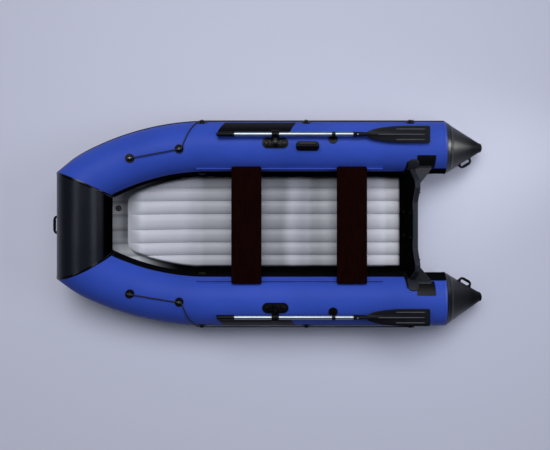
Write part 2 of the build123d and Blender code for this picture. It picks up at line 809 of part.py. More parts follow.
def build_loop_handle(base, length, stand, carrier):
    """Round loop on two pads, drawn in a plane whose X runs along the hand and Y outward."""
    half = length / 2 - LOOP_PAD_R
    with BuildPart() as handle:
        with BuildLine(base) as path:
            FilletPolyline((-half, -LOOP_PAD_T), (-half, stand), (half, stand), (half, -LOOP_PAD_T),
                           radius=LOOP_BEND_R)
        start = path.wire() @ 0
        with BuildSketch(Plane(start, x_dir=base.x_dir, z_dir=base.y_dir)):
            Circle(LOOP_R)
        sweep(path=path.wire())
        for end in (-1, 1):
            foot = base.from_local_coords((end * half, -2 * LOOP_PAD_T, 0))
            with BuildSketch(Plane(foot, x_dir=base.x_dir, z_dir=base.y_dir)):
                Circle(LOOP_PAD_R)
            extrude(amount=3 * LOOP_PAD_T)
        add(carrier, mode=Mode.SUBTRACT)
    return handle


def bow_handle_base():
    corner, _ = bow_corner(1)
    return Plane((corner.X + TUBE_R, 0, corner.Z), x_dir=(0, -1, 0), z_dir=(0, 0, 1))


def stern_handle_base(side):
    root = Vector(TUBE_AFT_X, side * (TUBE_Y - TUBE_R), TUBE_R)
    tip = Vector(TUBE_AFT_X - CONE_LENGTH, side * (TUBE_Y - CONE_TIP_R), TUBE_R - CONE_DROP)
    along = (tip - root).normalized()
    outward = Vector(0, 0, side).cross(along)
    return Plane(root + (tip - root) * 0.54, x_dir=along, z_dir=along.cross(outward))


# ---------------------------------------------------------------- lifelines and valves
def ring_planes(side):
    """Seats of the rope rings from the bow aft, each plane's X along the rope towards the stern."""
    fore_rings = ((FIRST_RING_X, FIRST_RING_ANGLE), (SECOND_RING_X, SECOND_RING_ANGLE))
    first, second = [on_tube(side, x, angle, ROPE_H).origin for x, angle in fore_rings]
    chord = (second - first).normalized()
    planes = []
    for x, angle in fore_rings:
        seat = on_tube(side, x, angle)
        flat = chord - seat.z_dir * chord.dot(seat.z_dir)
        planes.append(Plane(seat.origin, x_dir=flat, z_dir=seat.z_dir))
    for x in (THIRD_RING_X, FOURTH_RING_X, LAST_RING_X):
        seat = on_tube(side, x, SIDE_RING_ANGLE)
        planes.append(Plane(seat.origin, x_dir=-seat.x_dir, z_dir=seat.z_dir))
    return planes


def through_ring(seat, distance):
    return Vector(*seat.from_local_coords((distance, 0, ROPE_H)))


def rope_points(side):
    """Route of a lifeline from its fore end to its aft end, straight through each ring."""
    fore, second, third, fourth, last = ring_planes(side)
    end = BOSS_R + STOPPER_R + SKIN_GAP
    lead = BOSS_R + ROPE_LEAD
    route = [through_ring(fore, -end), through_ring(fore, lead)]
    route += [through_ring(second, -lead), through_ring(second, lead)]
    start_x = SECOND_RING_X - lead
    stop_x = THIRD_RING_X + lead
    for share in WRAP_SHARES:
        x = start_x + (stop_x - start_x) * share
        angle = SECOND_RING_ANGLE + (SIDE_RING_ANGLE - SECOND_RING_ANGLE) * share
        route.append(on_tube(side, x, angle, ROPE_H + 1).origin)
    route += [through_ring(third, -lead), through_ring(third, lead)]
    route += [through_ring(fourth, -lead), through_ring(last, end)]
    return route


def build_ring(side, seat):
    with BuildPart() as ring:
        with BuildSketch(seat.offset(-2 * RING_T)):
            Circle(RING_R)
        extrude(amount=4 * RING_T)
        add(RING_TOPS[side], mode=Mode.INTERSECT)
        with BuildSketch(seat):
            Circle(BOSS_R)
        extrude(amount=BOSS_H)
        add(TUBES[side], mode=Mode.SUBTRACT)
        bore = Plane(through_ring(seat, -2 * BOSS_R), x_dir=seat.y_dir, z_dir=seat.x_dir)
        with BuildSketch(bore):
            Circle(ROPE_R + ROPE_PLAY)
        extrude(amount=4 * BOSS_R, mode=Mode.SUBTRACT)
    return ring.part


def build_rope_rings(side):
    seats = ring_planes(side)
    solids = [build_ring(side, seat) for seat in seats]
    with BuildPart() as rings:
        add(solids)
    return rings


def build_lifeline(side):
    route = rope_points(side)
    radii = [LEAD_BEND_R] * 3 + [WRAP_BEND_R] * len(WRAP_SHARES) + [LEAD_BEND_R] * 3
    with BuildPart() as rope:
        with BuildLine() as path:
            FilletPolyline(*route, radius=radii)
        wire = path.wire()
        with BuildSketch(Plane(wire @ 0, z_dir=wire % 0)):
            Circle(ROPE_R)
        sweep(path=wire)
        with Locations(route[0], route[-1]):
            Sphere(STOPPER_R)
    return rope


def build_tube_valve(side):
    seat = on_tube(side, TUBE_VALVE_X, TUBE_VALVE_ANGLE)
    with BuildPart() as valve:
        with BuildSketch(seat.offset(-VALVE_T)):
            Circle(VALVE_R)
        extrude(amount=2 * VALVE_T)
        with BuildSketch(seat):
            Circle(VALVE_CAP_R)
        extrude(amount=VALVE_CAP_T)
        add(TUBES[side], mode=Mode.SUBTRACT)
    return valve


def build_floor_valve():
    """Valve on the hull bottom, between the floor's nose and the bow tube."""
    turn = asin((FLOOR_VALVE_X - FLOOR_BEND_X) / FLOOR_BEND_R)
    rise = FLOOR_BEND_R - (FLOOR_BEND_R - BED_Z) * cos(turn)
    x = FLOOR_BEND_X + (FLOOR_BEND_R - BED_Z) * sin(turn)
    seat = Plane(
        (x, FLOOR_VALVE_Y, rise), x_dir=(cos(turn), 0, sin(turn)), z_dir=(-sin(turn), 0, cos(turn))
    )
    with BuildPart() as valve:
        with BuildSketch(seat.offset(-VALVE_T)):
            Circle(FLOOR_VALVE_R)
        extrude(amount=2 * VALVE_T)
        with BuildSketch(seat):
            Circle(VALVE_CAP_R - VALVE_T / 2)
        extrude(amount=VALVE_CAP_T)
        with BuildSketch(Plane((0, 0, 0), x_dir=(0, 1, 0), z_dir=(1, 0, 0))):
            Rectangle(2 * TUBE_Y, BED_Z + 2 * SKIN_GAP, align=(Align.CENTER, Align.MIN))
        sweep(path=floor_path(0), mode=Mode.SUBTRACT)
    return valve


# ---------------------------------------------------------------- build and write
save(build_bow_tube(), "bow_tube")
save(build_air_floor(), "air_floor")
save(build_hull_bottom(), "hull_bottom")
save(build_keel_strip(), "keel_strip")
save(build_transom(), "transom")
save(build_transom_cap(), "transom_cap")
save(build_motor_pads(), "motor_pads")
save(build_drain_valve(), "drain_valve")
save(build_side_handle(), "side_handle")
save(build_floor_valve(), "floor_valve")
for place in BENCHES:
    save(build_bench_board(place), f"{place}_bench_board")
    save(build_bench_channels(place), f"{place}_bench_channels")
save(build_loop_handle(bow_handle_base(), BOW_HANDLE_L, BOW_HANDLE_OUT, bow_cylinder(TUBE_R)), "bow_handle")
for name, side in SIDES.items():
    cone = build_cone(side)
    save(build_side_tube(side), f"{name}_tube")
    save(cone, f"{name}_cone")
    save(build_rub_strake(side), f"{name}_rub_strake")
    save(build_transom_holder(side), f"{name}_transom_holder")
    save(build_stern_patch(side), f"{name}_stern_patch")
    save(build_transom_gusset(side), f"{name}_transom_gusset")
    save(build_bench_rail(side), f"{name}_bench_rail")
    save(build_oarlock_base(side), f"{name}_oarlock_base")
    save(build_oar_swivel(side), f"{name}_oar_swivel")
    save(build_oar_shaft(side), f"{name}_oar_shaft")
    save(build_oar_grip(side), f"{name}_oar_grip")
    save(build_oar_blade(side), f"{name}_oar_blade")
    save(build_oar_keeper(side), f"{name}_oar_keeper")
    save(
        build_loop_handle(stern_handle_base(side), STERN_HANDLE_L, STERN_HANDLE_OUT, cone.part),
        f"{name}_stern_handle",
    )
    save(build_rope_rings(side), f"{name}_rope_rings")
    save(build_lifeline(side), f"{name}_lifeline")
    save(build_tube_valve(side), f"{name}_tube_valve")
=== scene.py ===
from math import asin, cos, pi, radians, sin

import bmesh
import bpy
import numpy as np
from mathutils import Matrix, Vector


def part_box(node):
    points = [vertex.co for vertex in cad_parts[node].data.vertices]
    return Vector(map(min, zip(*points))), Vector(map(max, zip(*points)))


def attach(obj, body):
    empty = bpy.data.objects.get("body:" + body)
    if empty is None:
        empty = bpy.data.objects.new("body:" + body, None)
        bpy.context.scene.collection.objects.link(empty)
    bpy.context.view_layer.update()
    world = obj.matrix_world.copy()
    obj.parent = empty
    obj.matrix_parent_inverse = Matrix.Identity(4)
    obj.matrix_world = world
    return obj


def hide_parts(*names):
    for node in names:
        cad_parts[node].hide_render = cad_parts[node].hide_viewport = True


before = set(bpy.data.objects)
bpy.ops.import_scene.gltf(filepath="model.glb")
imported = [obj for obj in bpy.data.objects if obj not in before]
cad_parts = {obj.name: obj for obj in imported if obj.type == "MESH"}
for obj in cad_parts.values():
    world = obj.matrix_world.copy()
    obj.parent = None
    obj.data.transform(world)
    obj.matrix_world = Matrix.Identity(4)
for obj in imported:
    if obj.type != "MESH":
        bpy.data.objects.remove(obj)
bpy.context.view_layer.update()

SIDES = {"port": 1, "starboard": -1}

# The part's tubes: lengths in metres, plain angles in degrees round a tube from its crest
TUBE_R = 0.187
TUBE_Y = 0.543
TUBE_AFT_X = -1.244
BEND_X = 0.455
BEND_R = 1.42
BEND_TURN = radians(32.5)
SHEER_TILT = radians(27)
BOW_BEND_R = 0.446
BOW_BEND_TURN = radians(14.8)
CONE_LEAN = radians(8.5)
CONE_LENGTH = 0.283
CONE_DROP = 0.07
CONE_TIP_R = 0.025
SPLIT_ANGLE = -65
STRAKE_ANGLE = 92
SHEET_T = 0.0012
# How far the rims of sheets reach into what they lie on, that of pads in millimetres
TAPE_SINK, PATCH_SINK, STRAKE_SINK = -0.0003, -0.0004, -0.0005
PAD_SINK = -0.5


# ---- materials
def mixed(color, factor):
    return tuple(min(1, c * factor) for c in color)


class Nodes:
    """Writes a material; each node is handed on as one of its outputs."""

    def __init__(self, mat):
        self.mat = bpy.data.materials.new(mat) if isinstance(mat, str) else mat
        self.mat.use_nodes = True
        self.tree = self.mat.node_tree
        self.main = next(n for n in self.tree.nodes if n.type in ("BSDF_PRINCIPLED", "BACKGROUND"))

    def put(self, socket, value):
        """Set an input, or link it to another node's output."""
        if isinstance(value, bpy.types.NodeSocket):
            self.tree.links.new(value, socket)
        else:
            socket.default_value = value

    def fill(self, node, values):
        """Lower-case names are settings of a node, the others its inputs."""
        for key, value in values.items():
            if key[0].islower():
                setattr(node, key, value)
            else:
                self.put(node.inputs[key.replace("_", " ")], value)

    def add(self, kind, out, **values):
        node = self.tree.nodes.new("ShaderNode" + kind)
        self.fill(node, values)
        return node.outputs[out]

    def shade(self, **values):
        self.fill(self.main, values)
        return self.mat

    def position(self, scale=(1, 1, 1)):
        return self.add("Mapping", "Vector", Scale=scale, Vector=self.add("TexCoord", "Object"))

    def axis(self, vector, name):
        return self.add("SeparateXYZ", name, Vector=vector)

    def noise(self, vector, scale, detail=3, roughness=0.5):
        return self.add("TexNoise", "Fac", Vector=vector, Scale=scale, Detail=detail,
                        Roughness=roughness)

    def ramp(self, source, stops, interpolation="LINEAR"):
        """Colour ramp over (position, colour) pairs."""
        out = self.add("ValToRGB", "Color", Fac=source)
        out.node.color_ramp.interpolation = interpolation
        elements = out.node.color_ramp.elements
        for element, (place, color) in zip(elements, (stops[0], stops[-1])):
            element.position, element.color = place, (*color, 1)
        for place, color in stops[1:-1]:
            elements.new(place).color = (*color, 1)
        return out

    def blend(self, source, low, high, low_at=0.3, high_at=0.7):
        return self.ramp(source, [(low_at, low), (high_at, high)])

    def tones(self, source, color, darkest, lightest):
        return self.blend(source, mixed(color, darkest), mixed(color, lightest))

    def level(self, source, low, high, from_low=0.3, from_high=0.7):
        return self.add("MapRange", "Result", Value=source, From_Min=from_low, From_Max=from_high,
                        To_Min=low, To_Max=high)

    def calc(self, operation, *values):
        out = self.add("Math", "Value", operation=operation)
        for socket, value in zip(out.node.inputs, values):
            self.put(socket, value)
        return out

    def mix(self, color, other, amount, blend="MIX"):
        return self.add("MixRGB", "Color", Fac=amount, Color1=color, Color2=other, blend_type=blend)

    def bump(self, height, strength, depth, **after):
        return self.add("Bump", "Normal", Height=height, Strength=strength, Distance=depth, **after)


# Scales of the textures, per metre, and depths of their reliefs, in metres
MOTTLE_SCALE, WAVE_SCALE, GLOSS_SCALE, THREAD_SCALE = 2.3, 4, 60, 190
WAVE_DEPTH, THREAD_DEPTH, GRAIN_DEPTH, LINE_DEPTH = 0.012, 0.0004, 0.0006, 0.0002
PATCH_SCALE, GRAIN_SCALE, FIBRE_SCALE = 14, 260, 500
BOARD_STRETCH, METAL_STRETCH = (9, 1.1, 9), (2, 400, 400)


def fabric(name, color, rough=(0.38, 0.5), mottle=0.1, waves=0.35, shine=0.25):
    """Coated fabric: fine weave, soft mottling and slow waves."""
    n = Nodes(name)
    place = n.position()
    threads = [n.add("TexWave", "Fac", Vector=place, Scale=THREAD_SCALE, Distortion=0.4,
                     wave_type="BANDS", bands_direction=way) for way in "XZ"]
    slow = n.bump(n.noise(place, WAVE_SCALE, 2), waves, WAVE_DEPTH)
    return n.shade(
        Base_Color=n.tones(n.noise(place, MOTTLE_SCALE, 4), color, 1 - mottle, 1 + mottle),
        Roughness=n.level(n.noise(place, GLOSS_SCALE, 2), *rough), Specular_IOR_Level=shine,
        Normal=n.bump(n.calc("ADD", *threads), 0.12, THREAD_DEPTH, Normal=slow))


# Grey facing inside the bow: its seam lines are painted shade, and next to the mat it has painted
# shade to starboard and painted light to port
FACING_SEAMS = (0.0565, 0.1525, 0.2445)
SEAM_SHADE_STOPS = ((-0.03, 1), (0, 0.55), (0.01, 1))
FACING_START = (0.66, 0.98)
PAINTED_TONE_FADE = (1.075, 1.16)
PAINTED_LIGHT_SIDES = (0.1, 0.26)
FACING_EASE = 2.6


def hull_fabric(name, color, facing, painted_shade, painted_light):
    """Dark bottom fabric with a grey facing inside the bow. The facing carries painted shade along
    its seams and beside the mat to starboard, and painted light beside the mat to port.
    """
    n = Nodes(fabric(name, color, shine=0))
    x, y = (n.axis(n.position(), axis) for axis in "XY")
    upper = n.level(n.axis(n.add("NewGeometry", "Normal"), "Z"), 0, 1, 0.3, 0.6)
    shown = n.calc("MULTIPLY", n.level(x, 0, 1, *FACING_START), upper)
    # Painted shade next to the mat on the starboard side, painted light on the port side
    painted_side_tone = n.blend(n.level(y, 0, 1, *PAINTED_LIGHT_SIDES), painted_shade, painted_light, 0, 1)
    # Fades from these painted tones next to the mat to the facing's own grey
    grey = n.mix(painted_side_tone, (*facing, 1), n.level(x, 0, 1, *PAINTED_TONE_FADE))
    stops = [(edge + off, (tone,) * 3) for edge in FACING_SEAMS for off, tone in SEAM_SHADE_STOPS]
    # Darker lines along the seams: painted shade of their creases
    seam_shade = n.ramp(n.calc("ABSOLUTE", y), [(0, (1,) * 3), *stops, (1, (1,) * 3)])
    facing_color = n.mix(grey, seam_shade, 1, "MULTIPLY")
    shown = n.calc("POWER", shown, FACING_EASE)
    return n.shade(Base_Color=n.mix((*color, 1), facing_color, shown))


def bow_fabric(name, color, edge, rough, shine):
    """Coated fabric with painted shade along the bow tube's inner side: black and without
    reflection where its faces turn aft.
    """
    n = Nodes(fabric(name, color, rough))
    ahead = n.axis(n.add("NewGeometry", "True Normal"), "X")
    # Near-black colour and no reflection on faces turned aft: painted shade on the inner side
    return n.shade(Base_Color=n.blend(n.level(ahead, 0, 1, -0.86, -0.8), edge, color, 0, 1),
                   Specular_IOR_Level=n.level(ahead, 0, shine, -0.86, -0.74))


# Painted light and shade along the floor at each X: lighter bands for highlights where it rises,
# darker for shade where it sags and next to the benches
PAINTED_LIGHT_BANDS = [(-0.95, 0.8), (-0.87, 1.15), (-0.74, 0.98), (-0.43, 0.78), (-0.34, 0.62),
             (-0.24, 0.6), (-0.15, 0.75), (-0.07, 0.5), (0.06, 0.66), (0.45, 0.72),
             (0.55, 0.72), (0.68, 0.87), (0.9, 0.92), (0.99, 0.98), (1.08, 0.8)]
BAND_DRIFT, BAND_DRIFT_SCALE = 0.012, 1.6


def floor_fabric(name, color, rough, shine):
    """Coated fabric with soft painted bands of light and shade across the floor."""
    n = Nodes(fabric(name, color, rough, shine=shine))
    place = n.position()
    start, end = PAINTED_LIGHT_BANDS[0][0], PAINTED_LIGHT_BANDS[-1][0]
    along = n.level(n.axis(place, "X"), 0, 1, start, end)
    drift = n.level(n.noise(place, BAND_DRIFT_SCALE, 2), -BAND_DRIFT, BAND_DRIFT)
    stops = [((x - start) / (end - start), mixed(color, tone)) for x, tone in PAINTED_LIGHT_BANDS]
    # Each band's tone is painted light or shade
    return n.shade(Base_Color=n.ramp(n.calc("ADD", along, drift), stops, "EASE"))


def rubber(name, color, rough=(0.42, 0.6), grain=0.25, shine=0.1):
    """Moulded rubber or plastic with a fine grain and rubbed patches."""
    n = Nodes(name)
    place = n.position()
    broad = n.noise(place, PATCH_SCALE, 4)
    return n.shade(Base_Color=n.tones(broad, color, 0.88, 1.12), Roughness=n.level(broad, *rough),
                   Specular_IOR_Level=shine,
                   Normal=n.bump(n.noise(place, GRAIN_SCALE), grain, GRAIN_DEPTH))


def cone_rubber(name, color, rough, dull, shine, tip_x, collar_x):
    """Moulded rubber with a painted highlight: its reflection is strongest at the collar and fades
    towards the tip.
    """
    n = Nodes(rubber(name, color, rough, grain=0.1))
    x = n.axis(n.position(), "X")
    # Reflection strength ramped along X: a painted highlight near the collar
    return n.shade(Specular_IOR_Level=n.level(x, dull, shine, tip_x, collar_x))


def board(name, dark, light):
    n = Nodes(name)
    lines = n.noise(n.position(BOARD_STRETCH), 9, 8, 0.62)
    return n.shade(Base_Color=n.blend(lines, dark, light), Roughness=n.level(lines, 0.32, 0.5),
                   Specular_IOR_Level=0, Normal=n.bump(lines, 0.2, GRAIN_DEPTH))


def metal(name, color):
    n = Nodes(name)
    lines = n.noise(n.position(METAL_STRETCH), 3)
    return n.shade(Base_Color=n.tones(lines, color, 0.92, 1.06),
                   Roughness=n.level(lines, 0.28, 0.4), Metallic=0.85,
                   Normal=n.bump(lines, 0.08, LINE_DEPTH))


def fibre(name, color):
    n = Nodes(name)
    fine = n.noise(n.position(), FIBRE_SCALE)
    return n.shade(Base_Color=n.tones(fine, color, 0.6, 1.5), Roughness=0.75,
                   Normal=n.bump(fine, 0.4, GRAIN_DEPTH))


BLUE = (0.031, 0.069, 0.405)
mats = {
    "blue": fabric("blue_coated_fabric", BLUE, shine=0.05),
    "blue_rubber": rubber("blue_rubber_strip", mixed(BLUE, 0.85)),
    "blue_welt": fabric("blue_weld_band", mixed(BLUE, 1.05), waves=0.15),
    "black": fabric("black_coated_fabric", (0.003, 0.003, 0.004), mottle=0.2, shine=0),
    # The bow's second colour is painted shade on its aft-facing inner side
    "bow": bow_fabric("bow_coated_fabric", (0.0044, 0.0052, 0.0105), (0.0006, 0.0006, 0.0012),
                      rough=(0.3, 0.34), shine=0.27),
    "tape": fabric("black_seam_tape", (0.0012, 0.0012, 0.002), (0.16, 0.24), waves=0.15, shine=0.3),
    "panel": fabric("black_panel", (0.003, 0.003, 0.0045), (0.3, 0.4), waves=0.2, shine=0.06),
    # Floor fabric with painted bands of light and shade along it
    "floor": floor_fabric("grey_floor_fabric", (0.53, 0.54, 0.61), (0.44, 0.54), shine=0.35),
    # Bottom fabric; its facing has painted shade to starboard and painted light to port next to the
    # mat
    "hull": hull_fabric("dark_bottom_fabric", (0.002, 0.002, 0.0025), facing=(0.47, 0.475, 0.51),
                        painted_shade=(0.115, 0.12, 0.138), painted_light=(0.5, 0.51, 0.56)),
    # Cone rubber with a painted highlight, strongest at the collar
    "cone": cone_rubber("cone_rubber", (0.0035, 0.004, 0.005), (0.34, 0.42), dull=0.04, shine=0.4,
                        tip_x=-1.44, collar_x=-1.24),
    "rubber": rubber("black_rubber", (0.003, 0.003, 0.004), (0.32, 0.44), shine=0.11),
    "grey_rubber": rubber("grey_rubber", (0.026, 0.028, 0.034)),
    "plastic": rubber("black_plastic", (0.0025, 0.0025, 0.0035), (0.26, 0.4), 0.1, shine=0.05),
    "grey_plastic": rubber("grey_plastic", (0.016, 0.0175, 0.024), (0.35, 0.5), 0.12),
    "blade": rubber("blade_plastic", (0.0035, 0.0042, 0.0065), (0.35, 0.5), 0.1),
    # Lighter grey: a painted highlight on the blade's ribs, and the floor valve cap's own grey
    "rib": rubber("blade_rib", (0.07, 0.075, 0.085), (0.35, 0.5), 0.1),
    "transom": board("black_board", (0.0015,) * 3, (0.003,) * 3),
    "pad": rubber("wear_plate", (0.0025, 0.0025, 0.003), (0.5, 0.6), shine=0),
    "bench": board("brown_board", (0.0042, 0.0009, 0.0008), (0.0085, 0.0022, 0.0017)),
    # Pale colour for the benches' long edges: a painted highlight where the rounded edge catches
    # light
    "bench_edge": board("board_edge", (0.16, 0.14, 0.13), (0.27, 0.24, 0.22)),
    "alloy": metal("shaft_aluminium", (0.3, 0.345, 0.4)),
    "screw": metal("dark_screws", (0.014, 0.014, 0.015)),
    "eyelet": metal("eyelet_metal", (0.1, 0.105, 0.1)),
    "rope": fibre("lifeline_rope", (0.0045, 0.005, 0.009)),
}

# Materials of the CAD nodes, without their side's name; the rest are black rubber
NODES_WITH = {
    "blue": "tube", "blue_rubber": "bench_rail", "bow": "bow_tube", "floor": "air_floor",
    "hull": "hull_bottom", "cone": "cone", "grey_rubber": "transom_gusset keel_strip",
    "transom": "transom", "pad": "motor_pads", "grey_plastic": "transom_cap",
    "bench": "front_bench_board rear_bench_board", "alloy": "oar_shaft", "blade": "oar_blade",
    "rope": "lifeline", "plastic": "oar_swivel tube_valve drain_valve floor_valve"
                                   " front_bench_channels rear_bench_channels",
}
material_of = {node: key for key, nodes in NODES_WITH.items() for node in nodes.split()}
for node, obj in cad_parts.items():
    key = material_of.get(node.removeprefix("port_").removeprefix("starboard_"), "rubber")
    obj.data.materials.clear()
    obj.data.materials.append(mats[key])


# ---- small helpers
def mm(*pairs):
    """Pairs of millimetres as metres."""
    return [(a / 1000, b / 1000) for a, b in pairs]


def circle(count):
    return np.linspace(0, 2 * pi, count, endpoint=False)


def quarter(count):
    return np.linspace(0, pi / 2, count)


def unit(v):
    return v / np.linalg.norm(v, axis=-1, keepdims=True)


def box(node):
    return (np.array(v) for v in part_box(node))


# ---- tube surface
def tube_frame(side, s):
    """Centre, direction, outboard and up of a side tube, s metres along it (X where straight)."""
    s = np.asarray(s, float)
    turn = np.clip((s - BEND_X) / BEND_R, 0, BEND_TURN)
    run = s - BEND_X - BEND_R * BEND_TURN
    total = turn + np.clip(run / BOW_BEND_R, 0, BOW_BEND_TURN)
    past = np.maximum(run - BOW_BEND_R * BOW_BEND_TURN, 0)
    sin1, cos1, sin2, cos2 = np.sin(turn), np.cos(turn), np.sin(total), np.cos(total)
    fore = BEND_R * sin1 + BOW_BEND_R * (sin2 - sin1) + past * cos2
    across = BEND_R * (1 - cos1) + BOW_BEND_R * (cos1 - cos2) + past * sin2
    x_axis, _, up_axis = np.eye(3)
    inward = np.array([0, -side * cos(SHEER_TILT), sin(SHEER_TILT)])
    along = cos2[..., None] * x_axis + sin2[..., None] * inward
    centre = (np.minimum(s, BEND_X) + fore)[..., None] * x_axis + across[..., None] * inward
    centre = centre + np.array([0, side * TUBE_Y, TUBE_R])
    out, up = unit(np.cross(along, up_axis) * -side), unit(up_axis - along * along[..., 2:3])
    return centre, along, out, up


def tube_point(side, s, angle, height=0):
    """Points on a side tube: s along it, angle from its crest in degrees (outboard positive)."""
    s, angle, height = np.broadcast_arrays(np.asarray(s, float), angle, height)
    centre, _, out, up = tube_frame(side, s)
    a = np.radians(angle)[..., None]
    return centre + (TUBE_R + height)[..., None] * (up * np.cos(a) + out * np.sin(a))


BOW_S = BEND_X + BEND_R * BEND_TURN + BOW_BEND_R * BOW_BEND_TURN
BOW_CORNER = tube_frame(1, np.array(BOW_S))[0]
HALVINGS = 40


def solve_plane(side, angles, origin, normal, low, high):
    """Where each generator of a tube meets a plane."""
    angles = np.asarray(angles, float)
    lo, hi = np.full(angles.shape, low), np.full(angles.shape, high)
    sign = np.sign((tube_point(side, hi, angles) - origin) @ normal)
    for _ in range(HALVINGS):
        middle = (lo + hi) / 2
        inside = np.sign((tube_point(side, middle, angles) - origin) @ normal) == sign
        hi, lo = np.where(inside, middle, hi), np.where(inside, lo, middle)
    return (lo + hi) / 2


def mitre_s(side, angles, reach=0.3):
    centre, along, _, _ = tube_frame(side, np.array(BOW_S))
    return solve_plane(side, angles, centre, along + np.array([0, -side, 0]), BOW_S - reach,
                       BOW_S + reach)


def seam_s(side, angles, reach=0.1):
    origin = np.array([TUBE_AFT_X, side * TUBE_Y, TUBE_R])
    normal = np.array([-cos(CONE_LEAN), 0, sin(CONE_LEAN)])
    return solve_plane(side, angles, origin, normal, TUBE_AFT_X - reach, TUBE_AFT_X + reach)


# ---- mesh helpers
class Build:
    """Collects grids and rings into one mesh; marks are indices of its materials."""

    def __init__(self, name=""):
        self.prefix = name and name + "_"
        self.verts, self.faces, self.marks = [], [], []

    def points(self, pts):
        start = len(self.verts)
        self.verts += np.reshape(pts, (-1, 3)).tolist()
        return start

    def face(self, corners, mark=0):
        self.faces.append(tuple(corners))
        self.marks.append(mark)

    def grid(self, pts, mark=0, wrap=False):
        """Quads over rows and columns of points; wrap closes the rows."""
        rows, cols = pts.shape[:2]
        start = self.points(pts)
        i, j = np.indices((rows - 1, cols if wrap else cols - 1))
        k = (j + 1) % cols
        here, ahead = i * cols + start, (i + 1) * cols + start
        quads = np.stack([here + j, here + k, ahead + k, ahead + j], axis=-1)
        self.faces += quads.reshape(-1, 4).tolist()
        self.marks += np.broadcast_to(mark, i.shape).ravel().tolist()
        return start

    def fan(self, ring_start, count, tip, mark=0, flip=False):
        """Triangles from a ring of points to its tip."""
        centre = self.points([tip])
        for j in range(count):
            corners = (ring_start + j, ring_start + (j + 1) % count, centre)
            self.face(corners[::-1] if flip else corners, mark)

    def bar(self, rings, low, high, mark=0):
        """Bar through rings of points, with a fan to each end point given."""
        rows, count = rings.shape[:2]
        start = self.grid(rings, mark, wrap=True)
        if low is not None:
            self.fan(start, count, low, mark, flip=True)
        if high is not None:
            self.fan(start + (rows - 1) * count, count, high, mark)

    def make(self, name, materials, replaces="", body="", slot="black_rubber", sharp=40):
        name = self.prefix + name
        mesh = bpy.data.meshes.new(name)
        mesh.from_pydata(self.verts, [], self.faces)
        for key in materials.split():
            mesh.materials.append(mats[key])
        mesh.polygons.foreach_set("material_index", np.asarray(self.marks, np.int32))
        mesh.polygons.foreach_set("use_smooth", np.full(len(mesh.polygons), True))
        shape = bmesh.new()
        shape.from_mesh(mesh)
        bmesh.ops.remove_doubles(shape, verts=shape.verts, dist=1e-6)
        bmesh.ops.dissolve_degenerate(shape, edges=shape.edges, dist=1e-7)
        bmesh.ops.recalc_face_normals(shape, faces=shape.faces)
        shape.to_mesh(mesh)
        shape.free()
        mesh.update()
        obj = bpy.data.objects.new(name, mesh)
        bpy.context.scene.collection.objects.link(obj)
        if sharp is not None:
            mesh.set_sharp_from_angle(angle=radians(sharp))
        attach(obj, self.prefix + body if body else "hull")
        if replaces:
            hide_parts(self.prefix + replaces)
        return obj


class Place:
    """A local frame: x and y lie on a surface, z stands out of it."""

    def __init__(self, origin, x, z):
        self.origin = np.asarray(origin, float)
        self.z = unit(z)
        self.x = unit(x - self.z * np.dot(x, self.z))
        self.y = np.cross(self.z, self.x)

    def at(self, x, y, z):
        x, y, z = (np.asarray(v, float)[..., None] for v in np.broadcast_arrays(x, y, z))
        return self.origin + x * self.x + y * self.y + z * self.z

    def moved(self, x=0, y=0, z=0):
        return Place(self.at(x, y, z), self.x, self.z)

    def turned(self):
        """The same place with its z along the old x."""
        return Place(self.origin, self.y, self.x)


def lathe(b, place, profile, mark=0, segments=32):
    """Turned form about the place's z: (radius, height) pairs from foot to top."""
    turn = circle(segments)
    r, h = np.array(profile, float).T
    rings = place.at(r[:, None] * np.cos(turn), r[:, None] * np.sin(turn), h[:, None])
    low, high = (place.at(0, 0, h[end]) if r[end] > 0 else None for end in (0, -1))
    b.bar(rings, low, high, mark)


def post(radius, height, edge, foot=0):
    """Profile of a post with a rounded top edge, in millimetres."""
    return mm((radius, foot), *((radius - edge * (1 - cos(t)), height - edge * (1 - sin(t)))
                                for t in quarter(4)))


def hose(b, path, radius, mark=0, segments=12, strands=None):
    """Round bar along points, with flat ends; strands are a number, their pitch and depth."""
    path = np.asarray(path, float)
    step = np.diff(path, axis=0)
    tangent = unit(np.vstack([step[:1], (step[1:] + step[:-1]) / 2, step[-1:]]))
    side_dir = np.cross(tangent[0], [0.31, 0.53, 0.79])
    frames = []
    for t in tangent:
        side_dir = unit(side_dir - t * (side_dir @ t))
        frames.append((side_dir, np.cross(t, side_dir)))
    n, m = (np.array(v)[:, None] for v in zip(*frames))
    turn = circle(segments)
    radius = np.broadcast_to(np.asarray(radius, float), len(path))[:, None] * np.ones(segments)
    if strands:
        number, pitch, depth = strands
        twist = 2 * pi * run_along(path)[:, None] / pitch
        radius = radius - depth * (0.5 - 0.5 * np.cos(number * (turn[None, :] - twist)))
    spokes = np.cos(turn)[None, :, None] * n + np.sin(turn)[None, :, None] * m
    b.bar(path[:, None] + radius[..., None] * spokes, path[0], path[-1], mark)


def run_along(path):
    return np.concatenate([[0], np.cumsum(np.linalg.norm(np.diff(path, axis=0), axis=1))])


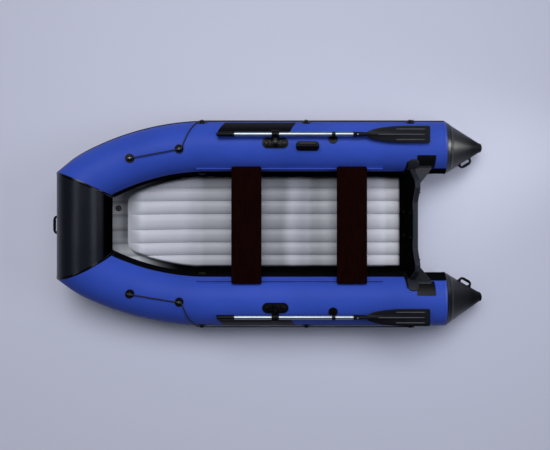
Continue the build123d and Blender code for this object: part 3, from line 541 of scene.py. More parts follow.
def smooth_path(points, count):
    """Evenly spaced points along a smooth curve."""
    curve = bpy.data.curves.new("route", "CURVE")
    curve.dimensions = "3D"
    spline = curve.splines.new("NURBS")
    spline.points.add(len(points) - 1)
    for target, point in zip(spline.points, points):
        target.co = (*point, 1)
    spline.order_u = 3
    spline.use_endpoint_u = True
    curve.resolution_u = 16
    holder = bpy.data.objects.new("route", curve)
    mesh = bpy.data.meshes.new_from_object(holder)
    found = np.array([v.co for v in mesh.vertices])
    bpy.data.objects.remove(holder)
    bpy.data.curves.remove(curve)
    bpy.data.meshes.remove(mesh)
    run = run_along(found)
    even = np.linspace(0, run[-1], count)
    return np.stack([np.interp(even, run, found[:, i]) for i in range(3)], axis=1)


def round_box(length, width, corner, count=72):
    """Outline of a rectangle with round corners, as x and y."""
    turn = circle(count) + pi / count
    c, s = np.cos(turn), np.sin(turn)
    return (np.sign(c) * (length / 2 - corner) + corner * c,
            np.sign(s) * (width / 2 - corner) + corner * s)


def pad_on(b, skin, outline, steps):
    """Low pad on a skin: steps are (inset, height) pairs from the rim inwards."""
    x, y = outline
    reach = np.hypot(x, y)
    rings = []
    for inset, height in steps:
        scale = 1 - inset / reach
        rings.append(skin(x * scale, y * scale, height))
    b.bar(np.array(rings), None, skin(0, 0, steps[-1][1]))


# ---- places on the tubes
AROUND = 144
ALL_ROUND = np.arange(AROUND) * 360 / AROUND + SPLIT_ANGLE


def tube_s(x):
    return x if x <= BEND_X else BEND_X + BEND_R * asin((x - BEND_X) / BEND_R)


def seat(side, x, angle):
    """Place on a side tube's skin, its x along the tube."""
    _, along, out, up = tube_frame(side, tube_s(x))
    normal = up * cos(radians(angle)) + out * sin(radians(angle))
    return Place(tube_point(side, tube_s(x), angle), along, normal)


def skin_at(side, x, angle):
    """Skin round a point of a side tube, by metres along, to port and out of it."""
    start = tube_s(x)
    return lambda a, b, h: tube_point(side, start + a, angle + np.degrees(side * b / TUBE_R), h)


def bow_point(y, angle, height=0):
    """Points on the bow tube; angles from its crest are positive forward."""
    y, angle, height = np.broadcast_arrays(np.asarray(y, float), angle, height)
    a, reach = np.radians(angle), TUBE_R + height
    return np.stack([BOW_CORNER[0] + reach * np.sin(a), y, BOW_CORNER[2] + reach * np.cos(a)],
                    axis=-1)


def bow_limit(side, angles):
    """Y where the bow tube's skin meets the mitre."""
    corner, along, _, _ = tube_frame(side, np.array(BOW_S))
    normal = along + np.array([0, -side, 0])
    a = np.radians(angles)
    return corner[1] - TUBE_R * (normal[0] * np.sin(a) + normal[2] * np.cos(a)) / normal[1]


# ---- tube skins, tapes and panels
STERN_BLACK_X = -0.93
STERN_BLACK_RISE = 12.5
EVEN_FROM, EVEN_TO = TUBE_AFT_X + 0.06, BEND_X + 0.3
TAPE_ON_TUBE, TAPE_ON_BOW = 0.004, 0.015
WELT_H = 1.6 * SHEET_T
WELT_ROWS = [(0.012, TAPE_SINK), (0.012, SHEET_T), (0.005, SHEET_T), (0.0035, WELT_H), (0, WELT_H)]
PANEL_FORE, PANEL_AFT, PANEL_SLANT = 0.39, -0.116, -0.062
PANEL_ANGLE, PANEL_TURN = 26, 45
PANEL_T = 0.0006
CONE_COLLAR = mm((0, PAD_SINK), (0.5, 2.2), (3, 2.8),
                 *((4 + 3.5 * i, 2.8 if i % 2 else 1.4) for i in range(8)),
                 (33, 2.8), (34, -1.2), (38, -1.2), (39, 1.2), (50, 1.2), (52, 0))
TIP_EDGE, TIP_FLARE = 0.014, 0.0125
STRAKE_ROWS, STRAKE_COLUMNS = 150, 25
STRAKE_H, STRAKE_HALF_W, STRAKE_GROOVE = 0.009, 0.014, 0.0012


def black_round(rise=0):
    """Which strips round a side tube are black; rise is degrees up its inner side."""
    middle = ALL_ROUND + 180 / AROUND
    return (middle > STRAKE_ANGLE) | (middle < SPLIT_ANGLE + rise)


def build_tube(b, side):
    fore, aft = mitre_s(side, ALL_ROUND), seam_s(side, ALL_ROUND)
    rows = [aft + (EVEN_FROM - aft) * t for t in np.linspace(0, 1, 6)[:-1]]
    rows += [np.full(AROUND, s) for s in np.linspace(EVEN_FROM, EVEN_TO, 60)]
    rows += [EVEN_TO + (fore - EVEN_TO) * t for t in np.linspace(0, 1, 70)[1:]]
    behind = np.array([row.mean() < STERN_BLACK_X for row in rows[1:]])
    marks = np.where(behind[:, None], black_round(STERN_BLACK_RISE), black_round()).astype(int)
    b.grid(tube_point(side, np.array(rows), ALL_ROUND[None, :]), marks, wrap=True)
    b.make("tube_skin", "blue black", "tube", sharp=None, slot="blue_fabric")


def build_bow():
    share = np.linspace(0, 1, 41)[:, None]
    port, starboard = bow_limit(1, ALL_ROUND), bow_limit(-1, ALL_ROUND)
    b = Build()
    b.grid(bow_point(starboard + (port - starboard) * share, ALL_ROUND[None, :]), wrap=True)
    b.make("bow_tube_skin", "bow", "bow_tube", sharp=None, slot="black_fabric")


def build_mitre_tape(b, side):
    fore, limit = mitre_s(side, ALL_ROUND), bow_limit(side, ALL_ROUND)
    rows = [(TAPE_ON_TUBE, TAPE_SINK), (TAPE_ON_TUBE, SHEET_T), (0, SHEET_T)]
    b.grid(np.array([tube_point(side, fore - d, ALL_ROUND, h) for d, h in rows]), wrap=True)
    rows = [(0, 1), (0.4, 2.2), (0.8, 1), (1, 1), (1, TAPE_SINK / SHEET_T)]
    b.grid(np.array([bow_point(limit - side * TAPE_ON_BOW * d, ALL_ROUND, SHEET_T * h)
                     for d, h in rows]), wrap=True)
    b.make("bow_seam_tape", "tape", slot="black_fabric")


def build_welt(b, side):
    aft = seam_s(side, ALL_ROUND)
    above = np.clip(2.5 * (1 + np.cos(np.radians(ALL_ROUND))), 0.1, 1)
    rows = [tube_point(side, aft + d, ALL_ROUND, h * above) for d, h in WELT_ROWS]
    b.grid(np.array(rows), black_round(STERN_BLACK_RISE).astype(int), wrap=True)
    b.make("stern_welt", "blue_welt black", slot="blue_fabric")


def build_panel(b, side):
    share, depth = np.meshgrid(np.linspace(0, 1, 60), np.linspace(0, 1, 16), indexing="ij")
    s = PANEL_FORE + (PANEL_AFT - PANEL_FORE) * share + PANEL_SLANT * depth
    s, angle = (np.pad(v, 1, mode="edge") for v in (s, PANEL_ANGLE + PANEL_TURN * depth))
    height = np.full(s.shape, PATCH_SINK)
    height[1:-1, 1:-1] = PANEL_T
    b.grid(tube_point(side, s, angle, height))
    b.make("blank_panel", "panel", slot="black_fabric")


def cone_tip(side):
    return np.array([TUBE_AFT_X - CONE_LENGTH, side * TUBE_Y, TUBE_R - CONE_DROP])


def build_cone(b, side):
    base = tube_point(side, seam_s(side, ALL_ROUND), ALL_ROUND)
    axis = unit([-CONE_LENGTH, 0, -CONE_DROP])
    turn = np.radians(ALL_ROUND)[:, None]
    spoke = np.cos(turn) * np.array([axis[2], 0, -axis[0]]) + np.sin(turn) * np.array([0, side, 0])
    tip = cone_tip(side)
    end = tip + CONE_TIP_R * spoke
    run = np.linalg.norm(end - base, axis=1).mean()
    steps = CONE_COLLAR + [(d, 0) for d in np.linspace(0.06, run - 0.016, 40)]
    rows = [base + (end - base) * (d / run) + spoke * h for d, h in steps]
    for t in quarter(7)[1:]:
        back, inward = 1 - sin(t), 1 - cos(t)
        radius = CONE_TIP_R - TIP_EDGE * inward + TIP_FLARE * back
        rows.append(tip - axis * TIP_EDGE * back + spoke * radius)
    rows = np.array(rows)
    rows[..., 2] = np.maximum(rows[..., 2], 0)
    b.bar(rows, None, tip)
    b.make("moulded_cone", "cone", "cone", sharp=50)


def build_strake(b, side):
    across = np.linspace(-1, 1, STRAKE_COLUMNS)
    height = STRAKE_H * np.sqrt(np.clip(1 - across**2, 0, 1))
    height -= STRAKE_GROOVE * (0.5 - 0.5 * np.cos(3 * pi * across))
    height = np.where(np.abs(across) > 0.999, STRAKE_SINK, np.maximum(height, 0.001))
    angles = STRAKE_ANGLE + np.degrees(STRAKE_HALF_W * across / TUBE_R)
    share = np.linspace(0, 1, STRAKE_ROWS)[:, None]
    aft, fore = seam_s(side, angles), mitre_s(side, angles)
    start = b.grid(tube_point(side, aft + (fore - aft) * share, angles[None, :], height[None, :]))
    for row in (0, STRAKE_ROWS - 1):
        first = start + row * STRAKE_COLUMNS
        b.face(range(first, first + STRAKE_COLUMNS))
    b.make("ribbed_strake", "rubber", "rub_strake", sharp=50)


def on_both_sides(*builders):
    for name, side in SIDES.items():
        for build in builders:
            build(Build(name), side)


build_bow()
on_both_sides(build_tube, build_mitre_tape, build_welt, build_panel, build_cone, build_strake)


# ---- air floor
FLOOR_BEND_X = 0.415
FLOOR_BEND_R = 2.5
BED_Z = 0.044
CHAMBER_CREST = 0.06
CHAMBER_SEAM = 0.044
CHAMBER_CROWN = 2.4
CHAMBER_EDGES = np.cumsum([0.0565, 0.096, 0.092, 0.09])
GROOVE_DEPTH, GROOVE_W = 0.005, 0.0022
MAT_HALF = CHAMBER_EDGES[-1]
MAT_TUBE_GAP = 0.049
MAT_CORNER_R = 0.06
MAT_ROLL = 0.024
MAT_NOSE = 0.1
MAT_LEAST_T = 0.0003
MAT_STERN_GAP = 0.004
SIDE_SHARE = 0.07


def floor_point(s, y, height):
    """Points on the floor: s along it, height over the keel's line."""
    turn = np.maximum(s - FLOOR_BEND_X, 0) / FLOOR_BEND_R
    reach = FLOOR_BEND_R - height
    x = np.where(s > FLOOR_BEND_X, FLOOR_BEND_X + reach * np.sin(turn), s)
    z = np.where(s > FLOOR_BEND_X, FLOOR_BEND_R - reach * np.cos(turn), height)
    return np.stack(np.broadcast_arrays(x, y, z), axis=-1)


def floor_s(x):
    return FLOOR_BEND_X + FLOOR_BEND_R * asin((x - FLOOR_BEND_X) / (FLOOR_BEND_R - BED_Z))


def mat_half_width(s):
    """Half the mat's width, clear of the tubes, with round corners at the bow."""
    axis = tube_frame(1, np.linspace(0.2, BOW_S + 0.1, 500))[0]
    tries = np.linspace(0.05, MAT_HALF, 240)
    found = []
    for value in s:
        points = floor_point(np.full(tries.shape, value), tries, BED_Z + CHAMBER_SEAM / 2)
        nearest = np.linalg.norm(points[:, None] - axis[None], axis=-1).min(axis=1)
        free = tries[nearest > TUBE_R + MAT_TUBE_GAP]
        found.append(free.max() if len(free) else tries[0])
    into = np.clip((s - (s[-1] - MAT_CORNER_R)) / MAT_CORNER_R, 0, 1)
    return np.minimum(found, MAT_HALF) - MAT_CORNER_R * (1 - np.sqrt(1 - into**2))


def chamber_height(y):
    """Height of the chambers, with a groove at each seam."""
    y = np.abs(y)
    edges = np.concatenate([[-CHAMBER_EDGES[0]], CHAMBER_EDGES, [MAT_HALF * 1.3]])
    index = np.clip(np.searchsorted(edges, y) - 1, 0, len(edges) - 2)
    low, high = edges[index], edges[index + 1]
    across = 2 * (y - low) / (high - low) - 1
    crown = CHAMBER_SEAM + (CHAMBER_CREST - CHAMBER_SEAM) * (1 - np.abs(across) ** CHAMBER_CROWN)
    crown = np.where(index == len(CHAMBER_EDGES), CHAMBER_SEAM, crown)
    gap = np.abs(y[..., None] - CHAMBER_EDGES[:-1]).min(axis=-1)
    return crown - GROOVE_DEPTH * np.exp(-((gap / GROOVE_W) ** 2))


def rolled(distance):
    """How far the mat's rolled edge has risen, this far in from it."""
    return np.sqrt(np.clip(1 - (1 - np.clip(distance / MAT_ROLL, 0, 1)) ** 2, 0, 1))


def build_mat():
    lo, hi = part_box("air_floor")
    first, last = lo[0] + MAT_STERN_GAP, floor_s(hi[0])
    ease = 1 - np.cos(quarter(12))
    s = np.concatenate([first + MAT_ROLL * ease,
                        np.linspace(first + MAT_ROLL, last - MAT_CORNER_R, 150)[1:],
                        last - MAT_CORNER_R * np.sin(quarter(40)[::-1])[1:]])
    half = mat_half_width(s)
    knots = np.concatenate([-CHAMBER_EDGES[::-1], CHAMBER_EDGES]) / MAT_HALF
    spans = [np.linspace(low, high, 22) for low, high in zip(knots[:-1], knots[1:])]
    v = np.unique(np.concatenate([*spans, SIDE_SHARE * ease - 1, 1 - SIDE_SHARE * ease]))
    y = half[:, None] * v[None, :]
    ramp = np.clip((last - s) / MAT_NOSE, 0, 1)
    nose = (ramp * ramp * (3 - 2 * ramp))[:, None]
    height = chamber_height(y) * rolled(half[:, None] - np.abs(y)) * nose
    height *= rolled(s - first)[:, None]
    b = Build()
    start = b.grid(floor_point(s[:, None], y, BED_Z + np.maximum(height, MAT_LEAST_T)))
    cols = len(v)
    for i in range(len(s) - 1):
        left, right = start + i * cols, start + (i + 1) * cols - 1
        b.face((left, right, right + cols, left + cols))
    mat = b.make("chambered_air_floor", "floor", "air_floor", sharp=None, slot="grey_fabric")


build_mat()


# ---- benches
BENCH_CORNER_R = 0.014
# Pale long edges of the bench: a painted highlight on the rounded edges, stopped short of the ends
HIGHLIGHT_ROWS = (1, 3)
HIGHLIGHT_END_MARGIN = 0.02


def build_bench(name):
    lo, hi = box(f"{name}_bench_board")
    middle, size = (lo + hi) / 2, hi - lo
    top = size[2]
    outline = round_box(size[0], size[1], BENCH_CORNER_R, 96)
    place = Place((middle[0], middle[1], lo[2]), (1, 0, 0), (0, 0, 1))
    b = Build(name)
    pad_on(b, place.at, outline, [(0.012, 0), (0.0015, 0), (0, 0.0015), (0, top - 0.003),
                                  (0.004, top), (0.005, top), (0.01, top), (0.06, top)])
    count = len(outline[0])
    # Painted highlight on the long edges only
    edge_highlight = np.abs(outline[1]) < size[1] / 2 - HIGHLIGHT_END_MARGIN
    for i in range(HIGHLIGHT_ROWS[0] * count, (HIGHLIGHT_ROWS[1] + 1) * count):
        b.marks[i] = int(edge_highlight[i % count])
    b.fan(0, count, place.at(0, 0, 0))
    b.make("bench_plank", "bench bench_edge", "bench_board", "bench", sharp=30, slot="brown_board")


build_bench("front")
build_bench("rear")


# ---- oars
LOCK_X = -0.025
LOCK_ANGLE = 8.6
LOCK_PAD = (0.183, 0.075)
LOCK_BOSS_X = 0.06
LOCK_RIB_TURN = radians(28)
COLLAR_OUT = 0.053
COLLAR_UP = 0.039
COLLAR_R = 0.0275
COLLAR_L = 0.05
COLLAR_SCREW_X = 0.0125
GRIP_L = 0.12
BLADE_W = 0.118
BLADE_SWELL = 0.285
BLADE_STRAIGHT = 0.159
BLADE_CORNER_R = 0.012
RIB_SPACING = 0.036
RIB_START = 0.033
RIB_R = 0.0036
# Distance behind the socket's mouth and radius there
SOCKET = mm((0, 16), (1, 19.5), (8, 19.5), (10, 17.8), (50, 17.2), (85, 15), (120, 9.5), (150, 4))
LOCK_STEPS = mm((0, PAD_SINK), (0, 3), (1.2, 4.6), (4.5, 5), (6.5, 4.6), (8, 2.6), (16, 2.6),
                (24, 3.4))
LOCK_BOSS = mm((18.5, -2), (17.5, 7), (15.5, 9), (12, 9.4), (11.5, 7), (8.8, 7))
LOCK_PIN = mm((28, 1), (26.2, 6), (24, 8), (24, 19), (23, 20), (6.8, 20), (6.8, 56))
PIN_HEAD_Z = 0.058
PIN_HEAD = mm((6.8, -2), (6.8, 0), (12, 0), (12, 4), (10, 6), (6, 6), (5, 4.5))


def oar_place(side, x):
    """Place on the stowed oar's axis, x forward and z up."""
    centre = seat(side, LOCK_X, LOCK_ANGLE).at(0, side * COLLAR_OUT, COLLAR_UP)
    return Place((x, centre[1], centre[2]), (1, 0, 0), (0, 0, 1))


def ribs(starts, low, high, steps):
    """Profile of ribs: low, high, high and low again at four steps from each start."""
    return [(r, start + step) for start in starts for r, step in zip((low, high, high, low), steps)]


def build_grip(b, side):
    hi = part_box(b.prefix + "oar_grip")[1]
    profile = mm((15.2, 0), (17.5, 0), (17.8, 6), (16, 8),
                 *ribs(12 + 7.5 * np.arange(12), 16, 17.2, (0, 1.4, 4.6, 6)),
                 (17.8, 104), (17.8, 112), (16.5, 117), (13, 120))
    lathe(b, oar_place(side, hi[0] - GRIP_L).turned(), profile, segments=28)
    b.make("ridged_grip", "rubber", "oar_grip", "oar")


def blade_spine(x):
    return 0.0045 * np.clip((x - 0.1) / 0.3, 0, 1)


def build_blade(b, side):
    """Leaf with a spine and ribs, and a socket with a spring button."""
    lo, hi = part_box(b.prefix + "oar_blade")
    mouth = hi[0] - lo[0]
    place = oar_place(side, lo[0])
    x = np.concatenate([BLADE_CORNER_R * (1 - np.cos(quarter(8))),
                        np.linspace(BLADE_CORNER_R, BLADE_STRAIGHT, 20)[1:],
                        BLADE_STRAIGHT + BLADE_SWELL * np.sin(quarter(50))[1:-1]])
    swell = np.clip((x - BLADE_STRAIGHT) / BLADE_SWELL, 0, 1)
    corner = np.clip((BLADE_CORNER_R - x) / BLADE_CORNER_R, 0, 1)
    half = BLADE_W / 2 * np.sqrt(1 - swell**2) - BLADE_CORNER_R * (1 - np.sqrt(1 - corner**2))
    v = np.sin(np.linspace(-pi / 2, pi / 2, 41))
    y = half[:, None] * v
    thick = 0.0012 + 0.0024 * np.sqrt(np.clip(1 - v**2, 0, 1))[None, :] * np.ones_like(y)
    thick += blade_spine(x[:, None]) * np.exp(-((y / 0.012) ** 2))
    thick[0] = 0.001
    top, low = place.at(x[:, None], y, thick), place.at(x[:, None], y, -thick)
    b.grid(np.concatenate([top, low[:, ::-1]], axis=1), wrap=True)
    b.grid(np.stack([top[0], low[0]]))
    rib_r = RIB_R * np.sqrt(np.clip(1 - np.abs(np.linspace(-1, 1, 24)) ** 12, 0.02, 1))
    for row, length in ((-1, 0.205), (0, 0.33), (1, 0.205)):
        along = np.linspace(RIB_START, RIB_START + length, 24)
        rise = 0.0028 + blade_spine(along) * (row == 0)
        for face in (1, -1):
            # The ribs take the lighter grey, a painted highlight along them
            hose(b, place.at(along, row * RIB_SPACING, face * rise), rib_r, mark=1, segments=10)
    back, socket_r = np.array(SOCKET).T
    hose(b, place.at(mouth - back, 0, 0), socket_r, segments=28)
    button = place.moved(x=mouth - 0.03, z=0.0168)
    lathe(b, button, post(5.2, 4.2, 2, foot=-3), mark=2, segments=16)
    b.make("moulded_blade", "blade rib alloy", "oar_blade", "oar", slot="blade_plastic")


def build_collar_rims(b, side):
    low, high = COLLAR_R - 0.0006, COLLAR_R + 0.0014
    for x in (-COLLAR_L / 2 + 0.004, 0, COLLAR_L / 2 - 0.004):
        lathe(b, oar_place(side, LOCK_X + x).turned(),
              [(low, -0.004), (high, -0.0026), (high, 0.0026), (low, 0.004)], segments=40)
    for x in (-COLLAR_SCREW_X, COLLAR_SCREW_X):
        lathe(b, oar_place(side, LOCK_X + x).moved(z=COLLAR_R - 0.001),
              post(4.6, 4.2, 1.6), mark=1, segments=16)
    b.make("collar_rims", "plastic screw", body="oar", slot="black_plastic")


def build_lock(b, side):
    skin, place = skin_at(side, LOCK_X, LOCK_ANGLE), seat(side, LOCK_X, LOCK_ANGLE)
    pad_on(b, skin, round_box(*LOCK_PAD, LOCK_PAD[1] / 2), LOCK_STEPS)
    for x in (-LOCK_BOSS_X, LOCK_BOSS_X):
        spot = seat(side, LOCK_X + x, LOCK_ANGLE)
        lathe(b, spot, LOCK_BOSS, segments=28)
        lathe(b, spot, post(7.8, 10.5, 2, foot=5), mark=1, segments=6)
    reach = np.linspace(0.02, 0.05, 8)
    for turn in (LOCK_RIB_TURN, -LOCK_RIB_TURN):
        for end in (1, -1):
            path = skin(end * reach * cos(turn), reach * sin(turn), np.full(8, 0.0035))
            hose(b, path, 0.0022, segments=8)
    lathe(b, place, LOCK_PIN, segments=40)
    lathe(b, place.moved(z=PIN_HEAD_Z), PIN_HEAD, mark=1)
    b.make("moulded_oarlock", "rubber screw", "oarlock_base")


on_both_sides(build_grip, build_blade, build_collar_rims, build_lock)


# ---- keepers, handles
KEEPER_X, KEEPER_ANGLE = -0.425, 17
KEEPER_PAD = (0.0642, 0.064)
KEEPER_SCREW_X = 0.02
KEEPER_STEPS = mm((0, PAD_SINK), (0, 5.2), (1, 6.8), (4, 7.2), (5.5, 6.4), (8, 6.2))
HANDLE_SPOT = (-0.248, 2)
HANDLE_PAD, HANDLE_PAD_R = (0.156, 0.065), 0.02
HANDLE_STEPS = mm((0, PAD_SINK), (0, 4), (1.5, 6), (5, 6.4), (7, 5.6), (8.5, 3.6), (20, 3.6),
                  (30, 4.2))
HANDLE_LUG_X, HANDLE_GRIP_X, HANDLE_UP = 0.065, -0.078, 0.042
HANDLE_LUG = mm((-3, 2), (-1, 6), (0, 12), (0, 38), (2, 41.5), (6, 42))
LUG_SPOT = (-0.988, -43)
LUG_SIZE, LUG_CORNER_R = (0.078, 0.105), 0.034
LUG_STEPS = mm((0, PAD_SINK), (0, 8.5), (1.2, 10.4), (4, 11.6), (10, 12), (30, 12.2))
LOOP_BAR_R, LOOP_BEND, LOOP_PAD_R = 0.0085, 0.02, 0.0135
BOW_LOOP, STERN_LOOP = (0.057, 0.0255), (0.046, 0.0295)
STERN_LOOP_SHARE = 0.54
SLEEVE_RIBS = 8


def build_keeper_rim(b, side):
    pad_on(b, skin_at(side, KEEPER_X, KEEPER_ANGLE),
           round_box(*KEEPER_PAD, KEEPER_PAD[1] / 2, 48), KEEPER_STEPS)
    for x in (-KEEPER_SCREW_X, KEEPER_SCREW_X):
        spot = seat(side, KEEPER_X + x, KEEPER_ANGLE).moved(z=0.0055)
        lathe(b, spot, post(5, 3.8, 2), mark=1, segments=16)
    b.make("keeper_rim", "rubber screw")


def build_side_handle():
    spot = (SIDES["starboard"], *HANDLE_SPOT)
    place = seat(*spot)
    b = Build()
    pad_on(b, skin_at(*spot), round_box(*HANDLE_PAD, HANDLE_PAD_R), HANDLE_STEPS)
    for x in (-HANDLE_LUG_X, HANDLE_LUG_X):
        pad_on(b, place.moved(x=x).at, round_box(0.026, 0.03, 0.01, 32), HANDLE_LUG)
    profile = mm((11, 0), (13, 2), (13, 22), (11.8, 26),
                 *ribs(30 + 10.7 * np.arange(9), 11.6, 12.8, (0, 2, 7.8, 9.8)),
                 (11.8, 130), (13, 134), (13, 154), (11, 156))
    lathe(b, place.moved(x=HANDLE_GRIP_X, z=HANDLE_UP).turned(), profile, segments=28)
    b.make("moulded_side_handle", "rubber", "side_handle")


def build_loop(b, where, base, half, stand):
    bar, bend, pad_r = LOOP_BAR_R, LOOP_BEND, LOOP_PAD_R
    turn = quarter(9)
    corner_x, corner_z = half - bend + bend * np.cos(turn), stand - bend + bend * np.sin(turn)
    x = np.concatenate([[half, half], corner_x, -corner_x[::-1], [-half, -half]])
    z = np.concatenate([[-0.001, 0.005], corner_z, corner_z[::-1], [0.005, -0.001]])
    hose(b, base.at(x, 0, z), bar, segments=20)
    for end in (-1, 1):
        lathe(b, base.moved(x=end * half), [(pad_r, -0.004), (pad_r, 0.003),
              (pad_r - 0.002, 0.0048), (bar + 0.003, 0.0056), (bar, 0.0085)])
    length = 2 * (half - bend)
    starts = -length / 2 + length * np.arange(SLEEVE_RIBS) / SLEEVE_RIBS
    profile = [(bar - 0.001, -length / 2),
               *ribs(starts, bar + 0.0004, bar + 0.0018, (0.0004, 0.0014, length / 11, length / 9)),
               (bar - 0.001, length / 2)]
    lathe(b, base.moved(z=stand).turned(), profile, segments=24)
    b.make(where + "_grab_handle", "rubber", where + "_handle")


def build_lug(b, side):
    pad_on(b, skin_at(side, *LUG_SPOT), round_box(*LUG_SIZE, LUG_CORNER_R), LUG_STEPS)
    b.make("holder_lug", "grey_plastic")


def build_stern_handle(b, side):
    root = np.array([TUBE_AFT_X, side * (TUBE_Y - TUBE_R), TUBE_R])
    run = cone_tip(side) - (0, side * CONE_TIP_R, 0) - root
    place = Place(root + run * STERN_LOOP_SHARE, run, np.cross((0, 0, side), run))
    build_loop(b, "stern", place, *STERN_LOOP)


build_side_handle()
place = Place((BOW_CORNER[0] + TUBE_R, 0, BOW_CORNER[2]), (0, 1, 0), (1, 0, 0))
build_loop(Build(), "bow", place, *BOW_LOOP)
on_both_sides(build_keeper_rim, build_lug, build_stern_handle)


# ---- lifelines
ROPE_H = 0.011
ROPE_R = 0.0043
ROPE_POINTS = 1100
ROPE_STRANDS = (3, 0.021, 0.001)
KNOT_R, KNOT_TILT, KNOT_ROPE_R = 0.0042, 0.0022, 0.003
RING_R = 0.0325
BOSS_R = 0.015
RINGS = ((0.999, 2), (0.651, -1), (0.493, 73), (-0.245, 73), (-0.985, 73))
ROPE_LEAD = 0.01
STOPPER_R = 0.0065
WRAP_SHARES = (0.12, 0.37, 0.63, 0.88)
RING_STEPS = mm((0, PAD_SINK), (0, 2.6), (1, 4), (3.5, 4.4), (5, 3.8), (7, 2.8), (12, 3.4))
RING_BOSS = mm((18.5, 2), (16.5, 5), (15, 8), (14.8, 13), (12.5, 16.5), (8.5, 17.8), (4.5, 18.2))
RING_CAP_Z = 0.0158
EYELET = mm((4.4, -1.2), (6.2, -1.2), (6.2, 1.2), (4.4, 1.2))


def ring_places(side):
    """Places of the rope rings from the bow aft, their x along the rope."""
    first, second = [tube_point(side, tube_s(x), a, ROPE_H) for x, a in RINGS[:2]]
    seats = [seat(side, x, angle) for x, angle in RINGS]
    return [Place(spot.origin, second - first if i < 2 else -spot.x, spot.z)
            for i, spot in enumerate(seats)]


def build_rings(b, side):
    turn = circle(48)
    outline = (RING_R * np.cos(turn), RING_R * np.sin(turn))
    for place, (x, angle) in zip(ring_places(side), RINGS):
        pad_on(b, skin_at(side, x, angle), outline, RING_STEPS)
        lathe(b, place, RING_BOSS)
        lathe(b, place.moved(z=RING_CAP_Z), post(9.2, 4.2, 2.2), mark=1, segments=24)
        for end in (-1, 1):
            eye = place.moved(x=end * (BOSS_R - 0.0012), z=ROPE_H).turned()
            lathe(b, eye, EYELET, mark=1, segments=24)
    b.make("moulded_rope_rings", "rubber eyelet", "rope_rings")


def build_rope(b, side):
    fore, second, third, fourth, last = ring_places(side)
    end, lead, eye = BOSS_R + STOPPER_R + 0.0003, BOSS_R + ROPE_LEAD, BOSS_R + 0.002
    (from_x, from_angle), (to_x, to_angle) = RINGS[1:3]
    wrap = [tube_point(side, tube_s(from_x - eye + (to_x - from_x + 2 * eye) * share),
                       from_angle + (to_angle - from_angle) * share, ROPE_H + 0.001)
            for share in WRAP_SHARES]
    ahead = [(fore, -end), (fore, lead), (second, -lead), (second, eye)]
    astern = [(third, -eye), (third, lead), (fourth, -lead), (fourth, lead), (last, -lead),
              (last, end)]
    ahead, astern = ([ring.at(x, 0, ROPE_H) for ring, x in stops] for stops in (ahead, astern))
    path = smooth_path(ahead + wrap + astern, ROPE_POINTS)
    hose(b, path, ROPE_R, segments=15, strands=ROPE_STRANDS)
    turn = np.linspace(0, 2 * pi, 33)
    for point, onward in ((path[0], path[3] - path[0]), (path[-1], path[-4] - path[-1])):
        knot = Place(point, (0.3, 0.5, 0.8), onward)
        for tilt in (-1, 1):
            x, y = KNOT_R * np.cos(turn), KNOT_R * np.sin(turn)
            hose(b, knot.at(x, y, tilt * KNOT_TILT * np.cos(turn)), KNOT_ROPE_R, segments=10)
    b.make("twisted_lifeline", "rope", "lifeline", sharp=None, slot="rope")


on_both_sides(build_rings, build_rope)


# ---- valves
TUBE_VALVE_X, TUBE_VALVE_ANGLE = 0.502, -76
LARGE_VALVE_R, SMALL_VALVE_R = 0.026, 0.021
CAP_SHARE, CAP_TOP, CAP_POINTS = 0.66, 0.0088, 96
KNURLS, KNURL_DEPTH = 24, 0.0007
TRANSOM_RAKE = radians(6)
FLOOR_VALVE_LIFT = 0.0006
DRAIN_SINK, DRAIN_LIFT = 0.0055, 0.0012


def build_valve(name, node, place, radius, cap_mark=0):
    """Screw valve: flange, knurled cap and its tether."""
    b = Build(name)
    lathe(b, place, [(radius, -0.002), (radius, 0.0035), (radius - 0.0015, 0.0052),
                     (radius - 0.005, 0.0056), (radius - 0.006, 0.0035)], segments=40)
    turn = circle(CAP_POINTS)
    cap = radius * CAP_SHARE
    knurl = cap - KNURL_DEPTH * (0.5 - 0.5 * np.cos(KNURLS * turn))
    rings = [(knurl, 0.003), (knurl, 0.0085), (knurl - 0.0015, 0.01), (cap * 0.45, 0.01),
             (cap * 0.45, CAP_TOP)]
    rings = np.array([place.at(r * np.cos(turn), r * np.sin(turn), h) for r, h in rings])
    start = b.grid(rings, cap_mark, wrap=True)
    b.fan(start + 4 * CAP_POINTS, CAP_POINTS, place.at(0, 0, CAP_TOP))
    bend = np.linspace(0, pi, 10)
    x, y = cap * 0.9 + 0.28 * radius * np.sin(bend), -0.004 + 0.008 * np.cos(bend)
    hose(b, place.at(x, y, 0.0085), 0.0013, segments=8)
    b.make("screw_valve", "plastic rib", node, slot="black_plastic")


for name, side in SIDES.items():
    build_valve(name, "tube_valve", seat(side, TUBE_VALVE_X, TUBE_VALVE_ANGLE), LARGE_VALVE_R)
lo, hi = box("floor_valve")
x, y, _ = (lo + hi) / 2
rise = (floor_s(x) - FLOOR_BEND_X) / FLOOR_BEND_R
place = Place(floor_point(np.array(floor_s(x)), y, BED_Z + FLOOR_VALVE_LIFT),
              (cos(rise), 0, sin(rise)), (-sin(rise), 0, cos(rise)))
build_valve("floor", "valve", place, SMALL_VALVE_R, cap_mark=1)
lo, hi = box("drain_valve")
_, y, z = (lo + hi) / 2
place = Place((hi[0] - DRAIN_SINK, y, z + DRAIN_LIFT), (0, 1, 0),
              (-cos(TRANSOM_RAKE), 0, -sin(TRANSOM_RAKE)))
build_valve("drain", "valve", place, LARGE_VALVE_R)


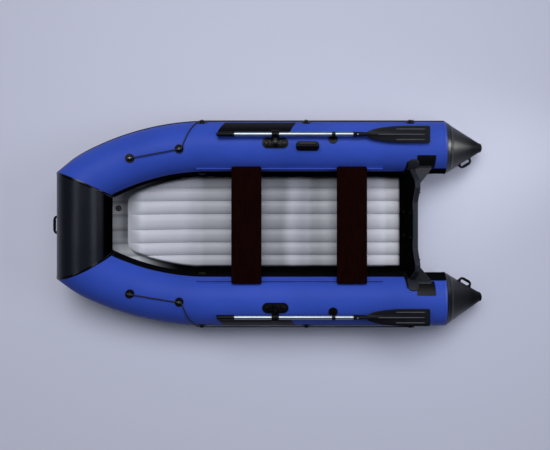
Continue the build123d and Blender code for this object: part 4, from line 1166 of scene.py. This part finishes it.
# ---- transom fittings
TRANSOM_X = -0.945
TRANSOM_T = 0.027
FACE = Place((TRANSOM_X, 0, BED_Z), (0, 1, 0), (cos(TRANSOM_RAKE), 0, sin(TRANSOM_RAKE)))
PAD_TOP = 0.323
CHANNEL_UP, CORNER_UP = 0.33, 0.381
CHANNEL_SPOTS = (-0.145, -0.085, -0.028, 0.028, 0.085, 0.145)
CORNER_SPOTS = (0.23, 0.285)
PAD_SPOT, PAD_ROWS = 0.085, (0.025, 0.175)
SCREW = mm((6.2, -1), (6, 0.8), (4.2, 2.6), (1.8, 3))
FOOT_ANGLES = (-49.5, -43.5)
FOOT_H, FOOT_CREST = 0.004, 0.0056


def build_bolts():
    """Screws of the channel and the wear plates, on both faces."""
    spots = [(y, CHANNEL_UP, 0.003) for y in CHANNEL_SPOTS]
    spots += [(side * y, CORNER_UP, 0.003) for side in (-1, 1) for y in CORNER_SPOTS]
    spots += [(y, PAD_TOP - z, 0.009) for y in (-PAD_SPOT, PAD_SPOT) for z in PAD_ROWS]
    back = Place(FACE.at(0, 0, -TRANSOM_T), FACE.x, -FACE.z)
    b = Build()
    for y, height, stand in spots:
        for face, up in ((FACE, 1), (back, -1)):
            lathe(b, face.moved(x=y, y=up * height, z=stand), SCREW, segments=20)
    b.make("transom_screws", "screw", slot="grey_plastic")


def build_gusset_foot(b, side):
    lo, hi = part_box(b.prefix + "transom_gusset")
    s = np.linspace(lo[0] + 0.002, hi[0] - 0.006, 24)[:, None]
    angles = np.linspace(*FOOT_ANGLES, 8)[None, :]
    height = np.full((24, 8), FOOT_H)
    height[1:-1, 1:-1] = FOOT_CREST
    b.grid(tube_point(side, s, angles, height))
    b.make("gusset_foot", "grey_rubber", slot="grey_rubber")


build_bolts()
on_both_sides(build_gusset_foot)


# ---- camera, light, floor
scene = bpy.context.scene
scene.view_settings.view_transform = "Standard"


def place_object(name, data, location=(0, 0, 0)):
    obj = bpy.data.objects.new(name, data)
    obj.location = location
    scene.collection.objects.link(obj)
    return obj


def aim(lamp, direction):
    lamp.rotation_euler = Vector(direction).to_track_quat("-Z", "Y").to_euler()


def area_light(name, place, target, size, power, color=(1, 1, 1), spread=180):
    data = bpy.data.lights.new(name, "AREA")
    data.color = color
    data.spread = radians(spread)
    data.shape = "RECTANGLE"
    data.size, data.size_y = size
    data.energy = power
    aim(place_object(name, data, place), Vector(target) - Vector(place))


lens = bpy.data.cameras.new("camera")
lens.sensor_width = 36
lens.lens = 41.43
lens.shift_y = -0.1056
lens.clip_end = 50
scene.camera = place_object("camera", lens, (-0.023, -0.405, 4.75))
scene.camera.rotation_euler = (0, 0, pi)

KEY_DIRECTION = (-0.15, 2.5, -3.9)
COOL = (0.8, 0.87, 1)
key = bpy.data.lights.new("key", "SUN")
key.energy = 1.55
key.angle = radians(32)
aim(place_object("key", key), KEY_DIRECTION)
area_light("soft_box", (0.2, -2.3, 4.2), (0, 0, 0.2), (3.4, 2), 62)
area_light("fill_bow", (2.6, -0.2, 3.8), (1.3, 0, 0.4), (2.4, 0.35), 16, COOL)
area_light("fill_stern", (-2.5, -0.2, 3.4), (1.2, 0, 0.4), (2.4, 0.35), 34, COOL)
area_light("glow_stern", (-3.2, -0.75, 0.75), (-1.4, -0.4, 0.4), (0.4, 0.5), 2, spread=50)

AMBIENT, AMBIENT_STRENGTH = (0.8, 0.82, 0.88, 1), 0.07
BACKDROP = (0.5, 0.52, 0.64, 1)
sky = Nodes(bpy.data.worlds.new("studio"))
scene.world = sky.shade(Color=AMBIENT, Strength=AMBIENT_STRENGTH)
seen = sky.add("MixShader", "Shader", Fac=sky.add("LightPath", "Is Camera Ray"))
sky.put(seen.node.inputs[1], sky.main.outputs[0])
sky.put(seen.node.inputs[2], sky.add("Background", "Background", Color=BACKDROP))
sky.put(sky.tree.nodes["World Output"].inputs["Surface"], seen)

GROUND_HALF, GROUND_Z = 40, -0.001
PAPER = (0.565, 0.58, 0.71, 1)
ground = bpy.data.meshes.new("ground")
corners = ((-1, -1), (1, -1), (1, 1), (-1, 1))
ground.from_pydata([(x * GROUND_HALF, y * GROUND_HALF, GROUND_Z) for x, y in corners], [],
                   [(0, 1, 2, 3)])
ground.materials.append(Nodes("studio_paper").shade(Base_Color=PAPER, Roughness=0.9))
ground_object = place_object("studio_floor", ground)
